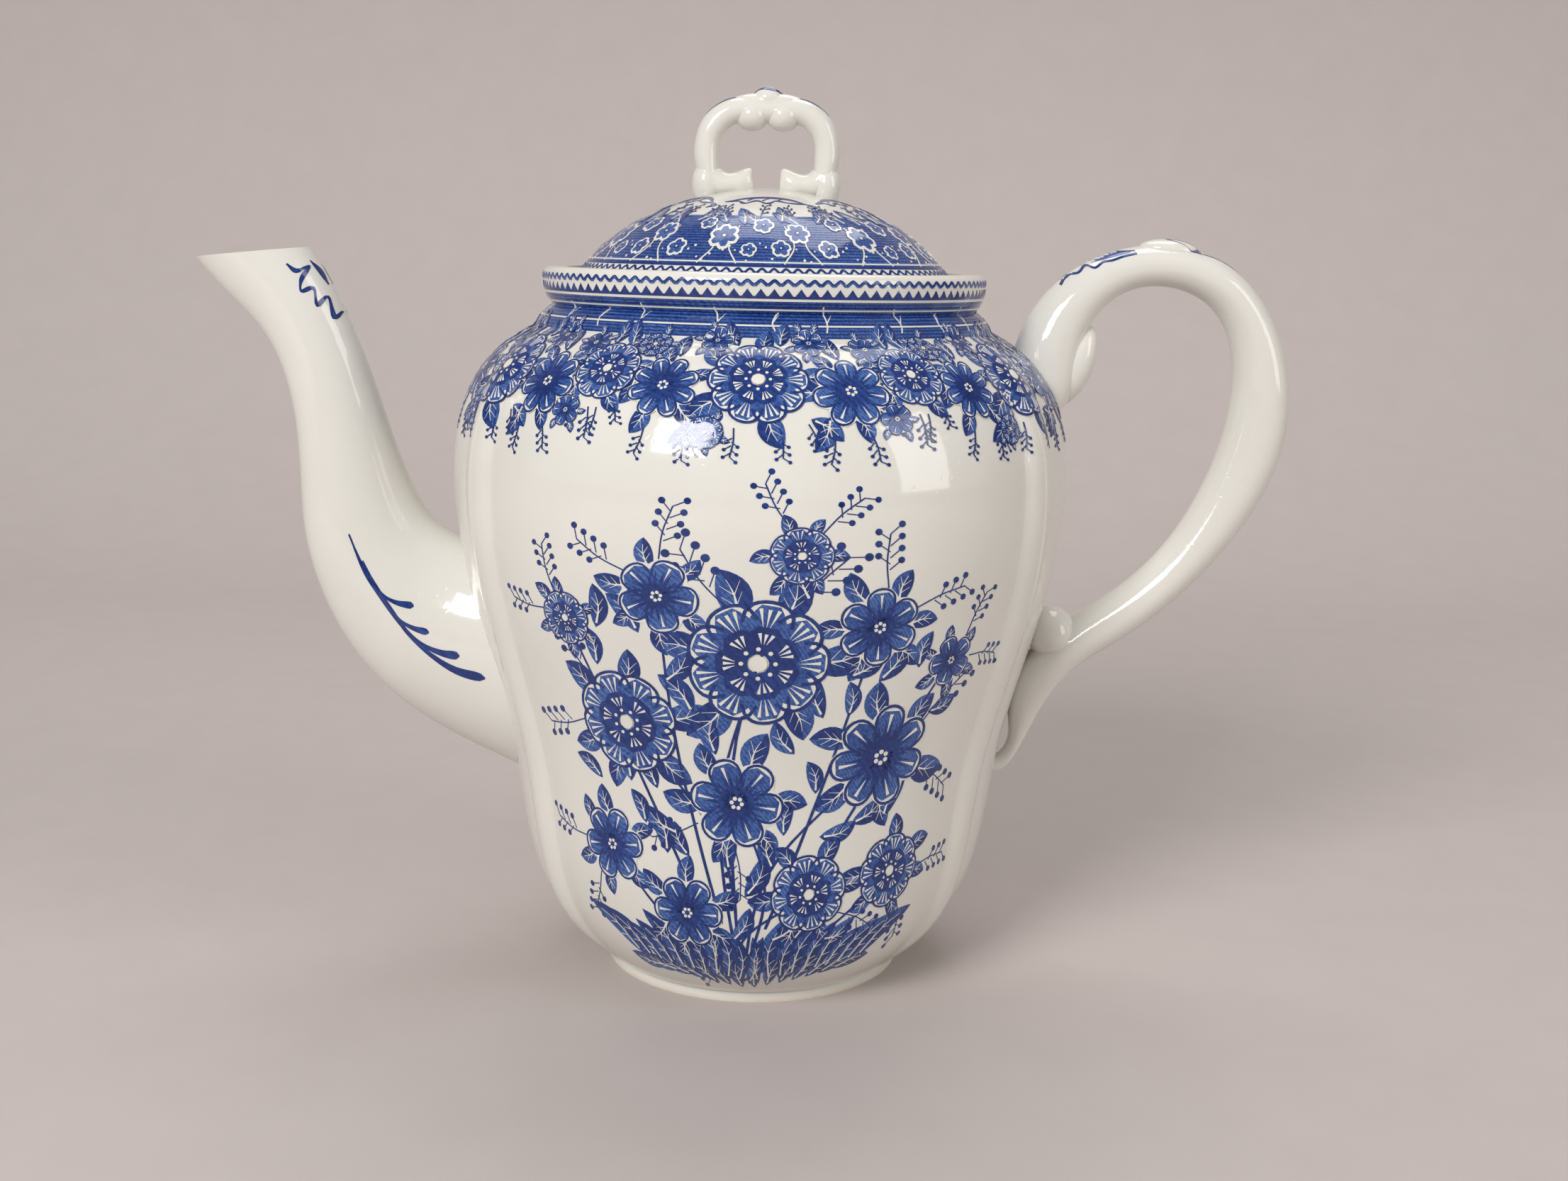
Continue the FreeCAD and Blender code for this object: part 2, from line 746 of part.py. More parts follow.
for thing in doc.Objects:
    if {"Invalid", "Error"} & set(thing.State):
        raise RuntimeError(f"{thing.Label} did not compute: {thing.State}")
os.makedirs("parts", exist_ok=True)
for label, piece in pieces.items():
    piece.Label = label
    shape = piece.Shape
    if shape.isNull() or not shape.isValid():
        raise RuntimeError(f"{label} has no valid shape")
    print(label, "solids", len(shape.Solids), "volume", round(shape.Volume), shape.BoundBox)
for label, piece in pieces.items():
    piece.Shape.exportStep(f"parts/{label}.step")
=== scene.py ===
"""Dresses the lidded pot of cream earthenware: clear glaze, a cobalt print and brushed strokes."""

import math
import random

import bpy
from mathutils import Matrix, Vector


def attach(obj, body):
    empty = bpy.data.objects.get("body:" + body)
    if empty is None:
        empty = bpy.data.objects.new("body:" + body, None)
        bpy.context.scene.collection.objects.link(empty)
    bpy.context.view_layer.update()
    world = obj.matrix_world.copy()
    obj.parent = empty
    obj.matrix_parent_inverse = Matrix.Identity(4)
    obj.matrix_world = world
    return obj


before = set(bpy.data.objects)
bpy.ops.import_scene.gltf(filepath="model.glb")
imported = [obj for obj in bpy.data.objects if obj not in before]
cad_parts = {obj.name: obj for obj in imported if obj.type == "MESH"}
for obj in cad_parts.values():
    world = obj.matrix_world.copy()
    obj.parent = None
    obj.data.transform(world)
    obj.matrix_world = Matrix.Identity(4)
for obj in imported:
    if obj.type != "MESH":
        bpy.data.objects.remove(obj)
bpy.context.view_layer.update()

MM = 0.001

# Sizes that the decoration shares with the pot, in millimetres

SPRAY_RADIUS = 60.0
LID_EDGE = 40.6
SHOULDER_CENTRE = 100.0
SHOULDER_REACH = 73.0
FILM = 0.10
WELD = 0.002

# Angles, in degrees: the middle of the front, and where edges of print and of clay count as sharp

FRONT = -90.0
FILM_EDGE = 40.0
CLAY_EDGE = 38.0

# Colours, scene-linear

CREAM = (0.718, 0.701, 0.650, 1)
CREAM_SHADE = (0.675, 0.655, 0.600, 1)
BISQUE = (0.600, 0.490, 0.360, 1)
COBALT_DEEP = (0.006, 0.020, 0.120, 1)
COBALT = (0.013, 0.046, 0.215, 1)
COBALT_SOFT = (0.065, 0.140, 0.365, 1)
FLOOR = (0.520, 0.465, 0.445, 1)
FLOOR_SHADE = (0.485, 0.432, 0.414, 1)

# Scales of the patterns in glaze, clay, print and floor, where a larger scale is a finer pattern

RIPPLE_SCALE = 70.0
PIT_SCALE = 900.0
GLOSS_SCALE = 38.0
CLOUD_SCALE = 22.0
CLAY_SCALE = 700.0
STIPPLE_SCALE = 1500.0
TONE_SCALE = 140.0
GROUND_PITCH = 90.0
WASH_PITCH = 620.0
LINE_PITCH = 300.0
FLOOR_SCALE = 60.0

# Finish of the glaze, and of the bare clay under the foot with its height in millimetres

GLAZE_IOR = 1.52
CLAY_GLOSS = 0.05
PRINT_GLOSS = 0.06
RIPPLE = 0.12
RIPPLE_HEIGHT = 0.4
STIPPLE_SHARE = 0.45
BARE_BELOW = 0.3
GLAZED_ABOVE = 0.9
BARE_DULLNESS = 0.7
FLOOR_ROUGHNESS = 0.85


# Shader building

class Tree:
    """Short hand for adding and joining nodes in a shader or a geometry tree."""

    def __init__(self, tree):
        self.tree = tree

    def add(self, kind, **settings):
        node = self.tree.nodes.new(kind)
        for key, value in settings.items():
            setattr(node, key, value)
        return node

    def join(self, source, target):
        self.tree.links.new(source, target)

    def noise(self, coords, scale, detail=2.0, rough=0.5):
        node = self.add("ShaderNodeTexNoise")
        node.inputs["Scale"].default_value = scale
        node.inputs["Detail"].default_value = detail
        node.inputs["Roughness"].default_value = rough
        self.join(coords, node.inputs["Vector"])
        return node.outputs["Fac"]

    def spread(self, value, low, high, to_low=0.0, to_high=1.0):
        node = self.add("ShaderNodeMapRange")
        limits = {"From Min": low, "From Max": high, "To Min": to_low, "To Max": to_high}
        for name, number in limits.items():
            node.inputs[name].default_value = number
        self.join(value, node.inputs["Value"])
        return node.outputs["Result"]

    def math(self, operation, first, second=None):
        node = self.add("ShaderNodeMath", operation=operation)
        self.fill(node, (first, second))
        return node.outputs[0]

    def multiply_add(self, value, factor, base, clamp=False):
        node = self.add("ShaderNodeMath", operation="MULTIPLY_ADD", use_clamp=clamp)
        self.fill(node, (value, factor, base))
        return node.outputs[0]

    def vector(self, *parts):
        node = self.add("ShaderNodeCombineXYZ")
        self.fill(node, parts)
        return node.outputs[0]

    def fill(self, node, values):
        for socket, value in zip(node.inputs, values):
            if isinstance(value, float):
                socket.default_value = value
            elif value is not None:
                self.join(value, socket)

    def mix(self, mask, first, second):
        node = self.add("ShaderNodeMix", data_type="RGBA")
        self.join(mask, node.inputs["Factor"])
        for socket, colour in ((node.inputs[6], first), (node.inputs[7], second)):
            if isinstance(colour, tuple):
                socket.default_value = colour
            else:
                self.join(colour, socket)
        return node.outputs[2]


def glaze_group():
    """The poured glaze's surface: a faint ripple, fine pits, and a gloss that varies a little."""
    group = bpy.data.node_groups.new("poured glaze", "ShaderNodeTree")
    group.interface.new_socket("Coordinates", in_out="INPUT", socket_type="NodeSocketVector")
    group.interface.new_socket("Gloss", in_out="INPUT", socket_type="NodeSocketFloat")
    group.interface.new_socket("Height", in_out="OUTPUT", socket_type="NodeSocketFloat")
    group.interface.new_socket("Roughness", in_out="OUTPUT", socket_type="NodeSocketFloat")
    t = Tree(group)
    given, out = t.add("NodeGroupInput"), t.add("NodeGroupOutput")
    coords = given.outputs["Coordinates"]
    ripple = t.noise(coords, RIPPLE_SCALE, 1.0)
    pits = t.spread(t.noise(coords, PIT_SCALE, 0.0), 0.70, 0.80, 0.0, -0.25)
    t.join(t.math("ADD", ripple, pits), out.inputs["Height"])
    wear = t.spread(t.noise(coords, GLOSS_SCALE, 3.0), 0.3, 0.7, 0.0, 0.06)
    t.join(t.math("ADD", given.outputs["Gloss"], wear), out.inputs["Roughness"])
    return group


def engraved_group():
    """The look of a transfer print: hatching broken up by stipple, as a mask from 0 to 1."""
    group = bpy.data.node_groups.new("engraved tone", "ShaderNodeTree")
    group.interface.new_socket("Coordinates", in_out="INPUT", socket_type="NodeSocketVector")
    group.interface.new_socket("Pitch", in_out="INPUT", socket_type="NodeSocketFloat")
    group.interface.new_socket("Mask", in_out="OUTPUT", socket_type="NodeSocketFloat")
    t = Tree(group)
    given, out = t.add("NodeGroupInput"), t.add("NodeGroupOutput")
    coords = given.outputs["Coordinates"]
    lines = t.add("ShaderNodeTexWave", wave_type="BANDS", bands_direction="DIAGONAL")
    lines.inputs["Distortion"].default_value = 2.5
    lines.inputs["Detail"].default_value = 1.0
    t.join(coords, lines.inputs["Vector"])
    t.join(given.outputs["Pitch"], lines.inputs["Scale"])
    stipple = t.spread(t.noise(coords, STIPPLE_SCALE, 1.0), 0.42, 0.60)
    tone = t.spread(t.noise(coords, TONE_SCALE, 2.0), 0.35, 0.68)
    hatching = t.math("MULTIPLY", lines.outputs["Fac"], tone)
    t.join(t.multiply_add(stipple, STIPPLE_SHARE, hatching, clamp=True), out.inputs["Mask"])
    return group


GLAZE = glaze_group()
ENGRAVED = engraved_group()


def glazed_material(name, gloss):
    """A material under the poured glaze, with its tree, shader, coordinates and glaze node."""
    material = bpy.data.materials.new(name)
    material.use_nodes = True
    t = Tree(material.node_tree)
    shader = material.node_tree.nodes["Principled BSDF"]
    shader.inputs["IOR"].default_value = GLAZE_IOR
    coords = t.add("ShaderNodeTexCoord").outputs["Object"]
    glaze = t.add("ShaderNodeGroup", node_tree=GLAZE)
    glaze.inputs["Gloss"].default_value = gloss
    t.join(coords, glaze.inputs["Coordinates"])
    bump = t.add("ShaderNodeBump")
    bump.inputs["Strength"].default_value = RIPPLE
    bump.inputs["Distance"].default_value = RIPPLE_HEIGHT * MM
    t.join(glaze.outputs["Height"], bump.inputs["Height"])
    t.join(bump.outputs["Normal"], shader.inputs["Normal"])
    return material, t, shader, coords, glaze


def cream_glaze():
    """Cream earthenware under clear glaze, bare clay on the underside of the foot."""
    material, t, shader, coords, glaze = glazed_material("cream glaze", CLAY_GLOSS)
    cloud = t.spread(t.noise(coords, CLOUD_SCALE, 4.0, 0.6), 0.35, 0.70)
    body = t.mix(cloud, CREAM, CREAM_SHADE)
    apart = t.add("ShaderNodeSeparateXYZ")
    t.join(coords, apart.inputs[0])
    bare = t.spread(apart.outputs["Z"], GLAZED_ABOVE * MM, BARE_BELOW * MM)
    clay = t.mix(t.noise(coords, CLAY_SCALE, 3.0), BISQUE, CREAM_SHADE)
    t.join(t.mix(bare, body, clay), shader.inputs["Base Color"])
    dull = t.multiply_add(bare, BARE_DULLNESS, glaze.outputs["Roughness"])
    t.join(dull, shader.inputs["Roughness"])
    return material


def engraved_print(name, deep, pale, pitch):
    """Colour printed under the glaze, engraved from a deep to a paler tone."""
    material, t, shader, coords, glaze = glazed_material(name, PRINT_GLOSS)
    cut = t.add("ShaderNodeGroup", node_tree=ENGRAVED)
    cut.inputs["Pitch"].default_value = pitch
    t.join(coords, cut.inputs["Coordinates"])
    t.join(t.mix(cut.outputs["Mask"], deep, pale), shader.inputs["Base Color"])
    t.join(glaze.outputs["Roughness"], shader.inputs["Roughness"])
    return material


FINISH = {
    "clay": cream_glaze(),
    "ground": engraved_print("cream ground", CREAM, CREAM_SHADE, GROUND_PITCH),
    "wash": engraved_print("cobalt wash", COBALT, COBALT_SOFT, WASH_PITCH),
    "line": engraved_print("cobalt line", COBALT_DEEP, COBALT, LINE_PITCH),
    "reserve": engraved_print("reserved cream", CREAM, CREAM_SHADE, GROUND_PITCH),
}


# Brush strokes: a stroke is a list of (x, y, half width), in millimetres on the print plane

def along(points, steps):
    """A smooth line through given points."""
    points = [Vector(p) for p in points]
    ends = [points[0] * 2 - points[1]] + points + [points[-1] * 2 - points[-2]]
    line = []
    for a, b, c, d in zip(ends, ends[1:], ends[2:], ends[3:]):
        for step in range(steps):
            t = step / steps
            bend = (a * 2 - b * 5 + c * 4 - d) * t**2 + (b * 3 - a - c * 3 + d) * t**3
            line.append(0.5 * (b * 2 + (c - a) * t + bend))
    return line + [points[-1]]


def even(half):
    """A width that stays the same."""
    return lambda share: half


def tapered(half, tip=0.05):
    """A width that runs out to a thin tip."""
    return lambda share: max(tip, half * (1 - share))


def swelling(half, tip=0.05, power=0.8):
    """A width that is thin at both ends and full in the middle."""
    return lambda share: max(tip, half * math.sin(math.pi * share) ** power)


def loaded(half, hair=0.20, tip=0.1):
    """A width that starts as a hair and ends full and round over the last share, the tip."""
    def width(share):
        past = max(0.0, share - (1 - tip)) / tip
        return hair + half * share**3 * math.sqrt(max(0.0, 1 - past**2))
    return width


def full(broad):
    """A petal's width: narrow at the eye, broadest near the middle, round at the tip."""
    return lambda share: broad * (0.2 + 0.8 * math.sin(math.pi * (0.12 + 0.80 * share)) ** 0.8)


class Motif:
    """Strokes sorted by the tone they are printed in."""

    def __init__(self):
        self.tones = {"ground": [], "wash": [], "line": [], "reserve": []}

    def stroke(self, tone, line, width):
        """A stroke along a line. The width is a function of the share walked, 0 to 1."""
        last = len(line) - 1
        self.tones[tone].append([(p[0], p[1], width(i / last)) for i, p in enumerate(line)])

    def dot(self, tone, x, y, half):
        line = [(x - half * math.cos(math.pi * i / 6), y) for i in range(7)]
        self.stroke(tone, line, lambda share: max(0.03, half * math.sin(math.pi * round(share * 6) / 6)))

    def place(self, other, x=0.0, y=0.0, turn=0.0, size=1.0):
        c, s = math.cos(math.radians(turn)) * size, math.sin(math.radians(turn)) * size
        for tone, strokes in other.tones.items():
            for stroke in strokes:
                moved = [(x + c * px - s * py, y + s * px + c * py, half * size) for px, py, half in stroke]
                self.tones[tone].append(moved)


# Plant forms

def leaf(length, half, bend=0.12):
    """A leaf that grows along +X: one side washed, one dark, with a reserved midrib and a few veins."""
    made = Motif()
    spine = along([(0, 0), (length * 0.5, length * bend), (length, length * bend * 0.4)], 5)
    count = len(spine) - 1
    made.stroke("wash", spine, swelling(half, power=0.75))
    shade = [p - Vector((0, half * 0.5 * math.sin(math.pi * i / count))) for i, p in enumerate(spine)]
    made.stroke("line", shade, swelling(half * 0.5))
    made.stroke("reserve", spine[1:-2], tapered(half * 0.09 + 0.05))
    for share in (0.3, 0.5):
        root = spine[int(share * count)]
        for side in (1, -1):
            tip = root + Vector((half * 0.8, side * half * 0.6))
            made.stroke("reserve", [root, (root + tip) / 2, tip], tapered(0.09, 0.03))
    return made


def petal_lines(ahead, radius, inner, outer, steps=8):
    """A straight line outwards, between two shares of a blossom's radius."""
    return [ahead * radius * (inner + (outer - inner) * i / steps) for i in range(steps + 1)]


def heading_out(angle):
    """The way out from a blossom's eye at an angle in radians, and the way across it."""
    ahead = Vector((math.cos(angle), math.sin(angle)))
    return ahead, Vector((-ahead.y, ahead.x))


def eye_dots(blossom, count, reach, half):
    """A ring of reserved dots round a blossom's eye."""
    for number in range(count):
        angle = 2 * math.pi * number / count
        blossom.dot("reserve", reach * math.cos(angle), reach * math.sin(angle), half)


def round_blossom(radius, petals):
    """A full blossom: outlined petals outside, rayed ones inside, and a pale eye ringed with dots."""
    made = Motif()
    inner = petals - 2
    rings = (
        ("line", 1.0, petals, 0.0), ("wash", 0.94, petals, 0.0),
        ("line", 0.60, inner, 0.5), ("wash", 0.55, inner, 0.5),
    )
    for number, (tone, reach, count, shift) in enumerate(rings):
        outermost = number == 0
        for petal in range(count):
            ahead, aside = heading_out(2 * math.pi * (petal + shift) / count)
            broad = radius * reach * math.pi / count * (0.98 if tone == "line" else 0.86)
            beneath = "ground" if outermost else tone
            made.stroke(beneath, petal_lines(ahead, radius, 0.15, reach), full(broad))
            if outermost:
                rim = [ahead * radius * (0.62 + 0.38 * math.sin(t) ** 0.6) - aside * broad * math.cos(t)
                       for t in (math.pi * i / 12 for i in range(13))]
                made.stroke("line", rim, even(max(0.16, radius * 0.026)))
            if tone == "wash":
                for lean in (-0.45, 0.0, 0.45):
                    ray = [
                        ahead * radius * (reach - 0.06 - 0.30 * reach * i / 4)
                        + aside * broad * lean * (1 - 0.16 * i)
                        for i in range(5)
                    ]
                    made.stroke("reserve", ray, tapered(radius * 0.026, 0.03))
    made.dot("reserve", 0, 0, radius * 0.13)
    eye_dots(made, 8, radius * 0.24, radius * 0.033)
    return made


def open_blossom(radius, petals):
    """An open blossom: outlined petals, washed inside a pale edge, with dark hatching round a dark eye."""
    made = Motif()
    for number in range(petals):
        ahead, aside = heading_out(2 * math.pi * number / petals)
        broad = radius * math.pi / petals * 0.88
        made.stroke("ground", petal_lines(ahead, radius, 0.1, 1.0), full(broad))
        made.stroke("wash", petal_lines(ahead, radius, 0.1, 0.90), full(broad * 0.80))
        outline = []
        for step in range(15):
            t = math.pi * step / 14
            out = 0.2 + 0.8 * math.sin(t) ** 0.65
            outline.append(ahead * radius * out - aside * broad * math.cos(t) * math.sin(t) ** 0.3)
        made.stroke("line", outline, even(max(0.15, radius * 0.028)))
        for lean in (-0.5, -0.17, 0.17, 0.5):
            reach = 0.78 - abs(lean) * 0.40
            hatch = [
                ahead * radius * (0.16 + (reach - 0.16) * i / 4)
                + aside * broad * lean * (0.35 + 0.16 * i)
                for i in range(5)
            ]
            made.stroke("line", hatch, tapered(radius * 0.075, 0.04))
        made.stroke("reserve", petal_lines(ahead, radius, 0.84, 0.50, 4), tapered(radius * 0.035, 0.03))
    made.dot("line", 0, 0, radius * 0.20)
    eye_dots(made, 6, radius * 0.11, radius * 0.045)
    return made


def berries(length, count):
    """A sprig of berries on fine stalks, growing along +X."""
    made = Motif()
    made.stroke("line", along([(0, 0), (length * 0.5, length * 0.05), (length, 0)], 4), even(0.13))
    for number in range(count):
        side = 1 if number % 2 else -1
        root = Vector((length * (0.35 + 0.65 * number / (count - 1)), 0))
        tip = root + Vector((length * 0.16, side * length * 0.2))
        made.stroke("line", [root, (root + tip) / 2, tip], even(0.1))
        made.dot("line", tip.x, tip.y, length * 0.06)
    return made


def ruff(design, x, y, radius, count, turn, rng):
    """Leaves that look out all round from beneath a blossom."""
    for number in range(count):
        angle = turn + 360 * number / count + rng.uniform(-8, 8)
        start = heading_out(math.radians(angle))[0] * radius * 0.7
        long = radius * rng.uniform(0.75, 1.0)
        frond = leaf(long, long * 0.28, rng.choice((-0.12, 0.12)))
        design.place(frond, x + start.x, y + start.y, angle + rng.uniform(-18, 18))


# Designs, with heights above the table as their Y unless they say otherwise

# Blossoms of the large spray: place, radius, kind and petals
SPRAY_BLOSSOMS = (
    (1, 84, 13.0, round_blossom, 9), (-26, 69, 11.0, round_blossom, 8), (28, 62, 11.5, open_blossom, 7),
    (-3, 53, 10.0, open_blossom, 6), (-34, 40, 8.5, open_blossom, 6), (35, 35, 8.5, round_blossom, 8),
    (14, 32, 9.0, round_blossom, 8), (-15, 27, 8.5, open_blossom, 6), (-17, 97, 7.5, open_blossom, 5),
    (23, 91, 8.0, open_blossom, 6), (-37, 90, 5.5, round_blossom, 7), (41, 82, 5.5, open_blossom, 5),
    (8, 106, 5.5, round_blossom, 7),
)
SPRAY_REPEATS = 2
SPRAY_ROOT = (-2, 8)
# The oval that the spray's leaves fill: middle, half width, half height, filled share and leaf spacing
CROWN_MIDDLE = 58
CROWN_HALF_WIDTH = 47
CROWN_HALF_HEIGHT = 50
CROWN_FILLED = 0.80
CROWN_STEP = 8.2
# The tuft of blades at the foot of the spray, and the lower one in front of it
TUFT_BLADES = 21
TUFT_WIDTH = 62
LOW_TUFT_BLADES = 14
LOW_TUFT_WIDTH = 50
TUFT_RISE = 12


def spray_leaves():
    """The greenery of the large spray on front and back: stems, a full crown of leaves and a tuft below."""
    rng = random.Random(5)
    made = Motif()
    for number, (x, y, size, _, _) in enumerate(SPRAY_BLOSSOMS):
        sway = 6 if number % 2 else -6
        root = Vector(SPRAY_ROOT)
        middle = (root.x + (x - root.x) * 0.42 + sway, root.y + (y - root.y) * 0.55)
        made.stroke("line", along([root, middle, (x, y)], 8), lambda share: 0.42 * (1 - 0.5 * share))
        ruff(made, x, y, size, 6, 20 * number, rng)
        outward = math.atan2(y - CROWN_MIDDLE, x)
        for lean in (-0.5, 0.5):
            ahead = heading_out(outward + lean)[0] * size
            sprig = berries(size * 0.5 + 7, 7)
            made.place(sprig, x + ahead.x, y + ahead.y, math.degrees(outward + lean * 1.3))
    for row in range(12):
        for column in range(-6, 7):
            x = (column + 0.5 * (row % 2)) * CROWN_STEP + rng.uniform(-2, 2)
            y = 14 + row * CROWN_STEP + rng.uniform(-2, 2)
            crown = (x / CROWN_HALF_WIDTH) ** 2 + ((y - CROWN_MIDDLE) / CROWN_HALF_HEIGHT) ** 2
            taken = any(math.hypot(x - bx, y - by) < size * 1.15 for bx, by, size, _, _ in SPRAY_BLOSSOMS)
            if crown > CROWN_FILLED or taken:
                continue
            heading = math.degrees(math.atan2(y - SPRAY_ROOT[1], x - SPRAY_ROOT[0])) + rng.uniform(-45, 45)
            long = rng.uniform(7.5, 10.5)
            made.place(leaf(long, long * 0.23, rng.choice((-0.14, 0.14))), x, y, heading)
    for number in range(TUFT_BLADES):
        share = number / (TUFT_BLADES - 1)
        long = rng.uniform(13, 19)
        blade = leaf(long, long * 0.13, 0.16 if share < 0.5 else -0.16)
        height = 7 + abs(share - 0.5) * TUFT_RISE
        made.place(blade, (0.5 - share) * TUFT_WIDTH, height, 35 + 110 * share)
    for number in range(LOW_TUFT_BLADES):
        share = number / (LOW_TUFT_BLADES - 1)
        blade = leaf(11, 2.1, 0.1)
        height = 5 + abs(share - 0.5) * TUFT_RISE
        made.place(blade, (0.5 - share) * LOW_TUFT_WIDTH, height, 12 + 156 * share)
    return made


def spray_blossoms():
    """The blossoms that lie over the greenery of the large spray."""
    made = Motif()
    for number, (x, y, size, kind, petals) in enumerate(SPRAY_BLOSSOMS):
        made.place(kind(size, petals), x, y, 17 * number)
    return made


# The garland's Y is the way up the shoulder from the belly's widest line
GARLAND_REPEATS = 6
GARLAND_RADIUS = 60.0
GARLAND_HALF = math.pi * GARLAND_RADIUS / GARLAND_REPEATS
# Blossoms of one length: place, radius, kind and petals
GARLAND_BLOSSOMS = (
    (0, 41.5, 9.6, round_blossom, 10), (-18.0, 39.5, 7.0, open_blossom, 8),
    (17.5, 39.0, 7.6, open_blossom, 7), (-GARLAND_HALF, 43.0, 7.2, round_blossom, 8),
    (-9.5, 52.5, 3.8, open_blossom, 5), (11.0, 52.0, 4.0, open_blossom, 6),
    (-23.5, 50.5, 3.8, round_blossom, 7), (23.5, 50.0, 3.8, open_blossom, 5),
    (-9.0, 30.0, 3.2, round_blossom, 6), (25.5, 33.0, 3.2, open_blossom, 5),
)
# Sprigs and leaves on one half of a length: place and heading in degrees
GARLAND_SPRIGS = (
    (9, 32, 290), (13.5, 30, 262), (4, 31, 275), (20, 30.5, 285), (27.5, 36, 250), (30.5, 34, 275),
)
GARLAND_FRONDS = (
    (9.5, 33, -40), (24.0, 41, -70), (25.0, 44.5, 50), (4.5, 51, 70), (16.5, 47, 95), (29.0, 50, 80),
    (13, 33.5, -115),
)


def garland_leaves():
    """The greenery of one length of the garland round the shoulder."""
    rng = random.Random(11)
    made = Motif()
    for number, (x, y, size, _, _) in enumerate(GARLAND_BLOSSOMS):
        ruff(made, x, y, size, 5, 25 * number, rng)
    for side in (-1, 1):
        for x, y, heading in GARLAND_SPRIGS:
            sprig = berries(rng.uniform(4.8, 6.4), 6)
            made.place(sprig, side * x, y, heading if side > 0 else 180 - heading)
        for x, y, heading in GARLAND_FRONDS:
            frond = leaf(rng.uniform(6, 8), 1.8, 0.1)
            made.place(frond, side * x, y, heading if side > 0 else 180 - heading)
    return made


def garland_blossoms():
    """The blossoms of one length of the garland."""
    made = Motif()
    for number, (x, y, size, kind, petals) in enumerate(GARLAND_BLOSSOMS):
        made.place(kind(size, petals), x, y, 20 * number)
    return made


RIM_RADIUS = 48.9
RIM_POINTS = 116
RIM_WAVE = 156.98
RIM_WAVE_WASH = 156.75
RIM_WAVE_SWING = 0.42
RIM_TOOTH_FOOT = 154.05
RIM_LINE = 153.95


def wave(pitch, height, swing):
    """One step of a wavy line, highest in its middle."""
    across = [pitch * (i / 8 - 0.5) for i in range(9)]
    return [(x, height + swing * math.cos(2 * math.pi * x / pitch)) for x in across]


def rim_point():
    """One step of the border on the rim: a wave above, a pointed tooth below, on a dark line."""
    made = Motif()
    pitch = 2 * math.pi * RIM_RADIUS / RIM_POINTS
    made.stroke("wash", wave(pitch, RIM_WAVE_WASH, RIM_WAVE_SWING), even(0.34))
    made.stroke("line", wave(pitch, RIM_WAVE, RIM_WAVE_SWING), even(0.13))
    made.stroke("line", [(0, RIM_TOOTH_FOOT + 0.22 * i) for i in range(8)], tapered(pitch * 0.46))
    made.stroke("line", wave(pitch, RIM_LINE, 0), even(0.24))
    return made


def ring(radius, height, steps=160):
    """A line right round, whose ends meet at the back."""
    return [(2 * math.pi * radius * (i / steps + 0.5), height) for i in range(steps + 1)]


# The neck band: the height and half width of its broad rings, its fine lines and its reserved ones
NECK_RINGS = ((152.0, 1.45), (149.2, 1.45), (147.0, 0.9))
NECK_LINES = 11
NECK_LINE_FOOT = 146.3
NECK_LINE_STEP = 0.64
NECK_RESERVED = (153.35, 151.5, 148.4)
# Twigs in the neck band: place, lean and reach
NECK_TWIGS = ((-9, 0.5, 3.0), (3, -0.6, 2.4), (13, 0.3, 3.2))
NECK_TWIG_REPEATS = 8


def neck_band():
    """The blue band round the neck, lined like an engraving, with cream lines reserved in it."""
    made = Motif()
    for height, half in NECK_RINGS:
        made.stroke("wash", ring(RIM_RADIUS, height), even(half))
    for number in range(NECK_LINES):
        made.stroke("line", ring(RIM_RADIUS, NECK_LINE_FOOT + NECK_LINE_STEP * number), even(0.13))
    for height in NECK_RESERVED:
        made.stroke("reserve", ring(RIM_RADIUS, height), even(0.15))
    return made


def neck_twigs():
    """Thin twigs reserved in the neck band."""
    made = Motif()
    for x, lean, reach in NECK_TWIGS:
        fork = x + lean
        stem = [(x, 147.2), (fork, 149.0), (x - lean, 147.4 + reach * 1.5)]
        made.stroke("reserve", along(stem, 4), even(0.15))
        made.stroke("reserve", [(fork, 149.0), (fork + 0.8, 149.9), (fork + 1.4, 150.6)], tapered(0.14))
    return made


# The lid's Y counts from the dome's foot to the knob
LID_RADIUS = 33.0
LID_RINGS = (3.2, 7.0, 10.8, 12.6)
LID_RING_HALF = 2.0
LID_LINES = 18
LID_LINE_FOOT = 2.6
LID_LINE_STEP = 0.66
LID_EDGE_LINE = 1.35
LID_RESERVED = 1.95


def lid_band():
    """The ground round the lid's dome, lined like an engraving."""
    made = Motif()
    for height in LID_RINGS:
        made.stroke("wash", ring(LID_RADIUS, height), even(LID_RING_HALF))
    for number in range(LID_LINES):
        made.stroke("line", ring(LID_RADIUS, LID_LINE_FOOT + LID_LINE_STEP * number), even(0.12))
    made.stroke("line", ring(LID_RADIUS, LID_EDGE_LINE), even(0.26))
    made.stroke("reserve", ring(LID_RADIUS, LID_RESERVED), even(0.12))
    return made


LID_BUMPS = 104
LID_WAVE = 0.45
LID_WAVE_SWING = 0.36
LID_DASH = -0.70


def lid_border_step():
    """One step of the border at the lid's edge: a bump of the wavy line above a short dash."""
    made = Motif()
    pitch = 2 * math.pi * LID_RADIUS / LID_BUMPS
    made.stroke("line", wave(pitch, LID_WAVE, LID_WAVE_SWING), even(0.20))
    made.stroke("line", [(pitch * (0.12 * i - 0.30), LID_DASH) for i in range(6)], swelling(0.36, 0.14))
    return made


